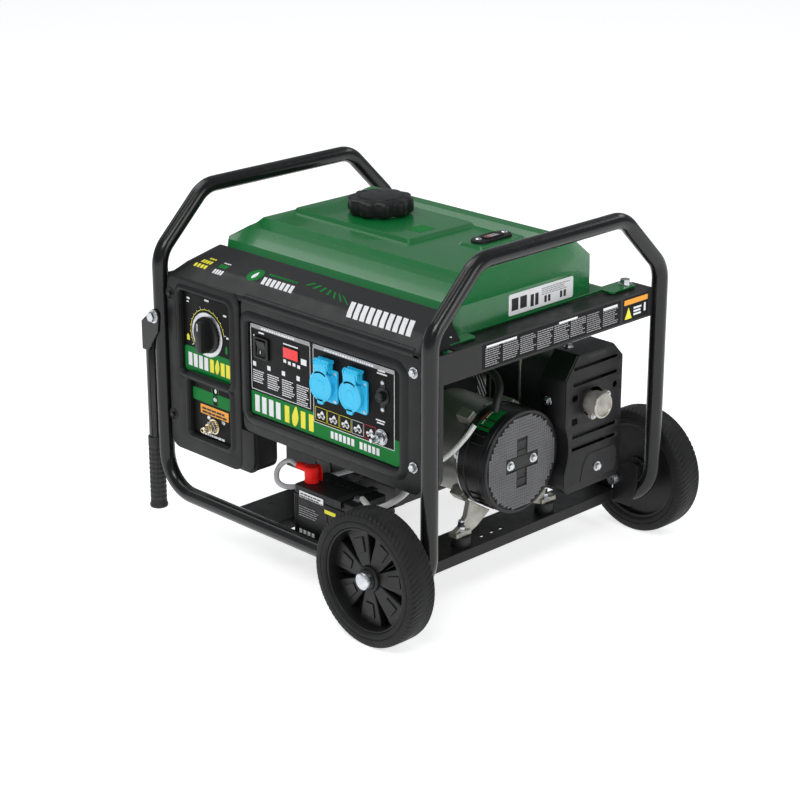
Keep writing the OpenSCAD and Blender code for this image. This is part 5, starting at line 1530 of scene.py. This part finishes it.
def add_end_bell():
    """Dark bell with ribs round its wall, a thin bright joint ring and a rimmed front."""
    shape = Shape()
    wall = [(COVER_R - 5, 0), (COVER_R - 0.6, 0), (COVER_R, 0.6), (COVER_R, 12), (COVER_R - 1.5, 13.5),
            (COVER_R - 1.5, 40), (COVER_R, 42), (COVER_R, COVER_X - BELL_X - 4),
            (COVER_R - 3, COVER_X - BELL_X),
            (COVER_R - 8, COVER_X - BELL_X), (COVER_R - 8, COVER_X - BELL_X - 5), (COVER_R - 5, 46)]
    shape.lathe(wall, (BELL_X, 0, CRANK_Z), RIGHT, 96)
    shape.lathe([(14, 44), (COVER_R - 6, 44), (COVER_R - 6, 49), (14, 49)], (BELL_X, 0, CRANK_Z), RIGHT, 72)
    shape.piece("bell_wall", "moulded_black", replaces="end_bell", bevel=0.5)
    ring = Shape().lathe([(COVER_R - 3, 0), (COVER_R + 0.7, 0), (COVER_R + 0.7, 1.8), (COVER_R - 3, 1.8)],
               (BELL_X - 1.0, 0, CRANK_Z), RIGHT, 128)
    ring.piece("bell_joint_ring", "zinc")
    ribs = Shape()
    for i in range(36):
        if 20 < i * 10 % 90 < 70:
            a = math.radians(i * 10)
            y, z = COVER_R * math.cos(a), COVER_R * math.sin(a)
            ribs.rod((BELL_X + 16, y * 0.985, CRANK_Z + z * 0.985),
                     (BELL_X + 38, y * 0.985, CRANK_Z + z * 0.985), 1.6, 10)
    ribs.piece("bell_ribs", "moulded_black")


def add_end_cover():
    """Grey grid of small squares in a dark rim, with a sunken cross in its middle and two bolts."""
    face = COVER_X
    profile = [(0, 0), (COVER_R - 6, 0), (COVER_R - 6, 4.4), (0, 4.4)]
    back = Shape().lathe(profile, (face - 4, 0, CRANK_Z), RIGHT, 72)
    back.piece("cover_back", "moulded_black", replaces="end_cover")
    grille = Shape()
    half = MESH_PITCH / 2 - MESH_GAP / 2
    for y, z in cell_squares(COVER_R - 5):
        z1, z2 = CRANK_Z + z - half, CRANK_Z + z + half
        square = [(y - half, z1), (y + half, z1), (y + half, z2), (y - half, z2)]
        grille.prism(square, "yz", face - 1, face + 2.6)
    grille.piece("cover_grille", "grille_grey")
    profile = [(COVER_R - 6.5, 0), (COVER_R - 1.4, 0), (COVER_R - 0.6, 1.4), (COVER_R - 0.6, 4.0),
               (COVER_R - 1.6, 5.2), (COVER_R - 5.5, 5.2), (COVER_R - 6.5, 4.2)]
    rim = Shape().lathe(profile, (face - 3.4, 0, CRANK_Z), RIGHT, 96)
    rim.piece("cover_rim", "moulded_black")
    cross = Shape()
    for i in range(-2, 3):
        cross.box((face, -9.6, CRANK_Z + 15 * i - 4.4), (face + 1.4, 9.6, CRANK_Z + 15 * i + 4.4))
    cross.box((face, -34, CRANK_Z - 9.6), (face + 1.3, 34, CRANK_Z + 9.6))
    cross.piece("cover_middle", "deep_black", bevel=0.7)
    add_bolts("cover_bolts", [(face + 1.4, -25, CRANK_Z), (face + 1.4, 25, CRANK_Z)], RIGHT, 5.4)


def add_stator():
    """Drawn steel barrel with end bands, cast lugs and screws round its end."""
    shape = Shape()
    start = low_mm("stator_housing").x
    length = BELL_X - start
    radius = STATOR_R
    shape.lathe([(46, 0), (radius - 3, 0), (radius - 1.2, 1.2), (radius - 1.2, 9), (radius, 10.5),
                 (radius, length - 12), (radius + 0.8, length - 10.5), (radius + 0.8, length), (46, length)],
                (start, 0, CRANK_Z), RIGHT, 128)
    shape.piece("stator_barrel", "stator_metal", replaces="stator_housing")
    lugs = Shape()
    for angle, length_out in ((125, 16), (55, 12), (222, 14), (318, 14)):
        a = math.radians(angle)
        out = Vector((0, math.cos(a), math.sin(a)))
        side = Vector((0, -math.sin(a), math.cos(a)))
        base = Vector((start + 76, 0, CRANK_Z)) + out * (radius - 2)
        rows = []
        for along, half, reach in ((0, 10, 0), (0, 8, length_out), (26, 8, length_out), (26, 10, 0)):
            rows.append([base + Vector((along, 0, 0)) + side * half * s + out * reach for s in (-1, 1)])
        low = [rows[0][0], rows[0][1], rows[3][1], rows[3][0]]
        high = [rows[1][0], rows[1][1], rows[2][1], rows[2][0]]
        lugs.loft([low, high])
    lugs.piece("stator_lugs", "cast_metal", bevel=2.0, segments=3)
    bolts = Shape()
    for angle in (100, 20, 250, 290, 170):
        a = math.radians(angle)
        y, z = (radius + 0.4) * math.cos(a), CRANK_Z + (radius + 0.4) * math.sin(a)
        bolts.bolt((BELL_X - 6, y, z), (0, math.cos(a), math.sin(a)), 3.6)
    bolts.piece("stator_screws", "zinc")


def add_bell_sticker():
    """Small curved sticker with plain bars on the near upper flank of the bell."""
    a0, a1 = math.radians(101), math.radians(134)
    radius = COVER_R - 1.1

    def band(name, x1, x2, low, high, finish_name, lift):
        shape = Shape()
        rows = []
        for i in range(13):
            a = low + (high - low) * i / 12
            rows.append([Vector((x, r * math.cos(a), CRANK_Z + r * math.sin(a)))
                         for x, r in ((x1, radius + lift), (x2, radius + lift), (x2, radius - 1),
                                      (x1, radius - 1))])
        shape.loft(rows)
        shape.piece(name, finish_name)

    band("bell_sticker", BELL_X + 8, BELL_X + 38, a0, a1, "label_green", 0.15)
    band("bell_sticker_red", BELL_X + 12, BELL_X + 15, a0 + 0.14, a0 + 0.36, "print_red", 0.35)
    band("bell_sticker_bar", BELL_X + 18, BELL_X + 20, a0 + 0.1, a0 + 0.46, "print_white", 0.35)


def add_foot():
    """Cast feet, and nuts and studs on the rubber mounts under them."""
    studs = Shape()
    for side, label in ((-1, "front"), (1, "rear")):
        shape = Shape()
        outline = [(side * y, z) for y, z in ((50, 128), (34, 118), (62, 100), (78, FOOT_Z), (108, FOOT_Z),
                                               (108, 103), (96, 108), (84, 122), (78, 146))]
        shape.prism(outline, "yz", 199.5, 209.4)
        y1, y2 = sorted((side * 78, side * 110))
        shape.box((MOUNT_X - 8.5, y1, FOOT_Z), (MOUNT_X + 8.5, y2, FOOT_Z + FOOT_THICK))
        shape.piece("foot_" + label, "cast_metal", slot="alternator_foot",
                    replaces="alternator_foot" if side < 0 else None, bevel=1.4, segments=3)
        base, tip = ((MOUNT_X, side * MOUNT_Y, FOOT_Z + rise) for rise in (FOOT_THICK, 24))
        studs.bolt(base, UP, 7.2)
        studs.rod(base, tip, 4.2, 20, 0.8)
    studs.piece("foot_nuts", "zinc")


add_end_bell()
add_end_cover()
add_stator()
add_bell_sticker()
add_foot()
dress("rotor", "heat_steel", 0.5)
dress("engine_mounts", "rubber", 0.8)


# ---------------------------------------------------------------- engine

CYLINDER_LEAN = -65         # degrees from upright, towards the rear
CYLINDER_BASE = (96, 200)   # Y and Z where the barrel leaves the crankcase
FINS, FIN_PITCH, FIN_THICK = 9, 5.6, 2.2
DIPSTICK = Vector((-20, -100, 128))


def add_cylinder():
    """Finned barrel, head and valve cover on the inclined axis."""
    tilt = Matrix.Rotation(math.radians(CYLINDER_LEAN), 3, "X")
    origin = Vector((centre_mm("cylinder").x, *CYLINDER_BASE))

    def block(shape, low, high):
        plan = ((low[0], low[1]), (high[0], low[1]), (high[0], high[1]), (low[0], high[1]))
        corners = [origin + tilt @ Vector((x, y, z)) for z in (low[2], high[2]) for x, y in plan]
        shape.loft([corners[:4], corners[4:]])

    half = (high_mm("cylinder").x - low_mm("cylinder").x) / 2
    fins = Shape()
    for i in range(FINS):
        block(fins, (-half, -50, 14 + i * FIN_PITCH), (half, 54, 14 + FIN_THICK + i * FIN_PITCH))
    block(fins, (-half + 10, -42, 8), (half - 10, 46, 66))
    fins.piece("cylinder_fins", "cylinder_metal", replaces="cylinder", bevel=0.5)
    head = Shape()
    block(head, (-half, -50, 65), (half, 50, 88))
    head.piece("cylinder_head", "cylinder_metal", bevel=2.0, segments=3)
    cover = Shape()
    block(cover, (-40, -42, 88), (40, 42, 108))
    cover.piece("valve_cover", "dark_casting", bevel=5.0, segments=4)


def add_crankcase():
    """Two cast seams and rows of bolts over the CAD block."""
    seam = Shape()
    left, right = low_mm("crankcase").x, high_mm("crankcase").x
    for x in (left + 30, left + 92):
        outline = [(-84, 96), (84, 96), (97.5, 130), (97.5, 250), (62, 293.5), (-52, 293.5), (-85.5, 264),
                   (-85.5, 122)]
        seam.prism(outline, "yz", x, x + 5)
    seam.piece("crankcase_seams", "dark_casting", bevel=1.2)
    bolt_y = -85.3 + 0.9
    places = [(x, bolt_y, z) for x in (left + 50, left + 74, left + 118, left + 148) if x < right
              for z in (160, 232)]
    add_bolts("crankcase_bolts", places, FRONT, 4.2)


def add_recoil():
    """Rings, radial fins and screws over the CAD shell of the recoil cover."""
    face = low_mm("recoil_housing").x
    rings = Shape()
    for radius in (82.0, 87.0, 92.0):
        rings.lathe([(radius - 0.8, 0), (radius + 0.8, 0), (radius + 0.8, 1.6), (radius - 0.8, 1.6)],
                    (face + 33.2, 0, CRANK_Z), LEFT, 96)
    rings.piece("recoil_rings", "moulded_black")
    slots = Shape()
    for i in range(24):
        a = math.tau * i / 24
        side = Vector((0, math.cos(a), math.sin(a)))
        other = Vector((0, -math.sin(a), math.cos(a)))
        start = Vector((face + 0.2, 0, CRANK_Z)) + side * 62
        end = Vector((face + 12, 0, CRANK_Z)) + side * 77.5
        rows = [[p + other * s * 1.4 + lift * Vector((-1.2, 0, 0)) for s,
                 lift in ((-1, 0), (1, 0), (1, 1), (-1, 1))]
                for p in (start, end)]
        slots.loft(rows)
    slots.piece("recoil_fins", "moulded_black")
    turns = [math.radians(90 + 120 * i) for i in range(3)]
    places = [(face + 33.6, 94 * math.cos(a), CRANK_Z + 94 * math.sin(a)) for a in turns]
    add_bolts("recoil_screws", places, LEFT, 4.4, washer=False)


def add_recoil_grip():
    """Moulded pull with finger waves and a collar for its rope."""
    low, high = low_mm("recoil_grip"), high_mm("recoil_grip")
    shape = Shape()
    rows = []
    steps = 26
    for i in range(steps + 1):
        t = i / steps
        y = low.y + 0.4 + (high.y - low.y - 0.8) * t
        swell = 1 - 0.1 * math.cos(math.tau * 3 * t) - 0.28 * (2 * t - 1) ** 8
        rows.append([Vector((low.x + 8 + 7.6 * swell * math.cos(math.tau * k / 20), y,
                             CRANK_Z - 4 + 8.6 * swell * math.sin(math.tau * k / 20))) for k in range(20)])
    shape.loft(rows)
    shape.lathe([(0, 0), (7.6, 0), (8.2, 1), (6.6, 14.4), (0, 14.4)], (-231.0, -62, CRANK_Z - 4), LEFT, 28)
    shape.piece("recoil_pull", "rubber", body="recoil_grip", replaces="recoil_grip", bevel=0.4)


def add_air_filter():
    """Clip-on filter case with a joint groove, two clips and vents."""
    low, high = low_mm("air_filter"), high_mm("air_filter")
    outline = round_rect((low.y, low.z), (high.y, high.z), 14)
    inner = round_rect((low.y + 2, low.z + 2), (high.y - 2, high.z - 2), 12)
    case = Shape()
    case.prism(outline, "yz", low.x, low.x + 42)
    case.prism(inner, "yz", low.x + 42, low.x + 44)
    case.prism(outline, "yz", low.x + 44, high.x)
    case.piece("filter_case", "moulded_black", replaces="air_filter", bevel=1.6, segments=3)
    vents = Shape()
    for i in range(9):
        z = low.z + 24 + 8 * i
        vents.box((low.x - 1.2, low.y + 18, z), (low.x + 1, high.y - 18, z + 3))
    for i in range(5):
        x = low.x + 8 + 7 * i
        vents.box((x, high.y - 0.6, low.z + 20), (x + 3, high.y + 1.2, high.z - 20))
    vents.piece("filter_vents", "moulded_black", bevel=0.5)
    clips = Shape()
    for z in (low.z + 40, high.z - 40):
        clips.box((low.x + 34, high.y - 0.5, z - 5), (low.x + 52, high.y + 1.6, z + 5))
    clips.piece("filter_clips", "zinc", bevel=0.8)


def add_dipstick():
    """Round cap with eight soft lobes, a bar across it and its plug."""
    shape = Shape()

    def wings(angle, radius, _height):
        return radius * (1 + 0.09 * math.cos(8 * angle)) if radius > 11 else radius

    shape.lathe([(0, 0), (10.6, 0), (11.8, 1.2), (11.8, 11), (12.4, 13), (12.4, 15.4), (8.7, 15.4),
                 (8.7, 43.5), (0, 43.5)], DIPSTICK, (0, 1, 0), 64, wings)
    shape.box((-31, -103.4, 125.4), (-9, -99.4, 130.6))
    shape.piece("dipstick_cap", "rubber", body="oil_dipstick", replaces="oil_dipstick", bevel=0.6)


add_cylinder()
add_crankcase()
add_recoil()
add_recoil_grip()
add_air_filter()
add_dipstick()
dress("crankcase", "dark_casting", 1.5, 3)
dress("recoil_housing", "moulded_black", 1.0)
dress("carburettor", "cast_metal", 1.2)
dress("choke_lever", "zinc", 0.5)


# ---------------------------------------------------------------- muffler and its shield

SHIELD_X = low_mm("muffler_shield").x
SHIELD_FACE = high_mm("muffler_shield").x
MUFFLER_LOW, MUFFLER_HIGH = (88, 176), (190, 326)   # Y and Z
EXHAUST = (137, 259)
SLOT_ROWS = (320, 295, 212, 192)   # heights of the shield's long slots


def shield_outline(shrink):
    corners = ((75, 132), (84, 122), (198, 122), (205, 132), (205, 318), (184, 340), (102, 340), (75, 304))
    middle = (140, 231)
    return [(y - shrink * (1 if y > middle[0] else -1), z - shrink * (1 if z > middle[1] else -1))
            for y, z in corners]


def ring_cut(outline):
    """Keeps an outline of the shield clear of the round end cover."""
    limit = COVER_R + 4
    kept = []
    for (y1, z1), (y2, z2) in zip(outline, outline[1:] + outline[:1]):
        for i in range(24):
            y, z = y1 + (y2 - y1) * i / 24, z1 + (z2 - z1) * i / 24
            off = z - CRANK_Z
            if math.hypot(y, off) < limit:
                y = math.sqrt(limit ** 2 - off ** 2)
            kept.append((y, z))
    return kept


def add_shield():
    """Pressed heat shield: slotted face, folded walls, an embossed lower panel and its bolts; its top slot
    is painted shade on the face.
    """
    holes = [round_rect((92, z - 3), (192, z + 3), 2.9) for z in SLOT_ROWS]
    holes += [round_rect((90, z - 5), (103, z + 5), 3) for z in (273, 236)]
    holes.append(circle(EXHAUST, 24, 48))
    holes.append(circle((188, 274), 5, 20))
    plate("shield_face", [ring_cut(shield_outline(0.6)), *holes], "yz", SHIELD_FACE - 2.6, SHIELD_FACE,
          "powder_black", replaces="muffler_shield", edge=0.8)
    outer, inner = ring_cut(shield_outline(0)), ring_cut(shield_outline(2.4))
    rows = layers("yz", [(inner, SHIELD_X), (outer, SHIELD_X), (outer, SHIELD_FACE - 3.0),
                         (inner, SHIELD_FACE - 0.8), (inner, SHIELD_FACE - 2.6)])
    wall = Shape().grid(rows, closed_rows=True, closed_columns=True)
    wall.piece("shield_walls", "moulded_black", angle=50)
    low_panel = [(112, 134), (190, 134), (196, 142), (196, 168), (188, 176), (130, 176), (118, 160)]
    emboss = Shape().prism(low_panel, "yz", SHIELD_FACE - 0.4, SHIELD_FACE + 1.1)
    emboss.piece("shield_emboss", "powder_black", bevel=1.0, segments=3)
    # Painted shade: the top slot is not cut; a flat, very dark sheet on the face stands in for it.
    slot = round_rect((122, 330), (164, 335), 2.4)
    top_slot_shade = Shape().prism(slot, "yz", SHIELD_FACE - 0.2, SHIELD_FACE + 0.15)
    top_slot_shade.piece("shield_top_slot", "deep_black")
    lips = Shape()
    for z in SLOT_ROWS:
        for s in (-1, 1):
            lips.box((SHIELD_FACE - 0.3, 93, z + s * 3.4 - 0.5), (SHIELD_FACE + 0.7, 191, z + s * 3.4 + 0.5))
    lips.ring((SHIELD_FACE - 0.4, *EXHAUST), RIGHT, 23.8, 26.2, 1.2, 48, 0.4)
    lips.piece("shield_lips", "powder_black")
    bolts = Shape()
    bolts.bolt((SHIELD_FACE + 1.0, 150, 151), RIGHT, 5.6)
    bolts.bolt((SHIELD_X + 10, 122, 339.6), UP, 5.4)
    bolts.bolt((SHIELD_X + 12, 75.5, 266), FRONT, 5.6)
    bolts.piece("shield_bolts", "zinc")


def add_muffler():
    """Two pressed shells with a rolled seam round the middle, and end beads."""
    low, high = MUFFLER_LOW, MUFFLER_HIGH
    stations = ((78, -9), (80, -4), (84, 0), (228, 0), (233, -4), (235.5, -9))
    shape = Shape().loft(layers("yz", [(inset_rect(low, high, -grow, 22, 8), x) for x, grow in stations]))
    shape.piece("muffler_shell", "muffler_black", replaces="muffler", angle=40)
    seam = Shape()
    for x, grow in ((152, 1.8), (90, 0.8), (220, 0.8)):
        seam.prism(inset_rect(low, high, -grow, 23), "yz", x, x + 4)
    seam.piece("muffler_seams", "heat_steel", bevel=1.0)
    inlet = Shape().rod((high_mm("cylinder").x, 160, 240), (80, 160, 240), 12, 32, 1.0)
    inlet.piece("muffler_inlet", "heat_steel")


def add_shield_bracket():
    """Dark plate behind the lowest slots of the heat shield, which carries it on the muffler."""
    bracket = Shape().box((SHIELD_X + 18, 102, 128), (SHIELD_X + 21, 200, 224))
    bracket.piece("shield_bracket", "muffler_black", slot="muffler_shield", bevel=0.5)


def add_exhaust():
    """Round outlet tube with a wire screen over a disc, and two bolts."""
    y, z = EXHAUST[0] - 4, EXHAUST[1]
    tip = high_mm("exhaust_outlet").x
    shape = Shape()
    shape.lathe([(12, 0), (17, 0), (17, 26), (20, 28), (20, 46), (18.8, 47.6), (16.6, 48), (15.6, 46.8),
                 (15.2, 44), (12, 43)], (236, y, z), RIGHT, 64)
    shape.piece("outlet_body", "heat_steel", replaces="exhaust_outlet", bevel=0.3)
    screen = Shape()
    for i in range(-4, 5):
        reach = math.sqrt(15.4 ** 2 - (i * 3.4) ** 2)
        screen.rod((tip - 1.8, y + i * 3.4, z - reach), (tip - 1.8, y + i * 3.4, z + reach), 0.5, 8, 0.1)
        screen.rod((tip - 2, y - reach, z + i * 3.4), (tip - 2, y + reach, z + i * 3.4), 0.5, 8, 0.1)
    screen.lathe([(0, 0), (15.6, 0), (15.6, 1), (0, 1)], (tip - 3, y, z), RIGHT, 40)
    screen.piece("outlet_screen", "heat_steel")
    ears = Shape()
    bolts = Shape()
    for angle in (40, 220):
        a = math.radians(angle)
        cy, cz = y + 21 * math.cos(a), z + 21 * math.sin(a)
        ears.rod((270, cy, cz), (277.6, cy, cz), 5.4, 24, 0.6)
        bolts.bolt((277.4, cy, cz), RIGHT, 3.5, washer=False)
    ears.piece("outlet_ears", "heat_steel")
    bolts.piece("outlet_bolts", "zinc")


add_shield()
add_muffler()
add_exhaust()


# ---------------------------------------------------------------- strip of print along the right-hand rail

RAIL_FACE = high_mm("side_rails").x


def add_rail_print():
    at = RAIL_FACE + 0.3
    marks("rail_strip", [(-140, 384, 158, 420)], "yz", at, "label_black", 0.4)
    text = []
    for i in range(8):
        low = -134 + 36 * i
        text += text_lines((low, 387 + i % 3), (low + 34, 416), 9, 0.4, 40 + i, 1.0, 6, 1.6)
    marks("rail_text", text, "yz", at + 0.2, "print_grey", 0.2)
    marks("rail_heads", [(-132, 414.5, -70, 417.5), (20, 414.5, 60, 417.5), (118, 412, 150, 416)], "yz",
          at + 0.3, "print_white", 0.2)
    marks("rail_plate", [(164, 384, 222, 420)], "yz", at, "label_black", 0.4)
    marks("rail_orange", [(166, 409, 220, 417)], "yz", at + 0.2, "print_orange", 0.2)
    sign = Shape().prism([(168, 387), (184, 387), (176, 405)], "yz", at, at + 0.3)
    sign.piece("rail_sign", "print_yellow")
    marks("rail_sign_words", [(188, 400, 206, 403), (188, 395, 204, 398), (188, 390, 205, 393),
                              (212, 392, 216, 405)], "yz", at + 0.2, "print_white", 0.2)


add_rail_print()
add_shield_bracket()
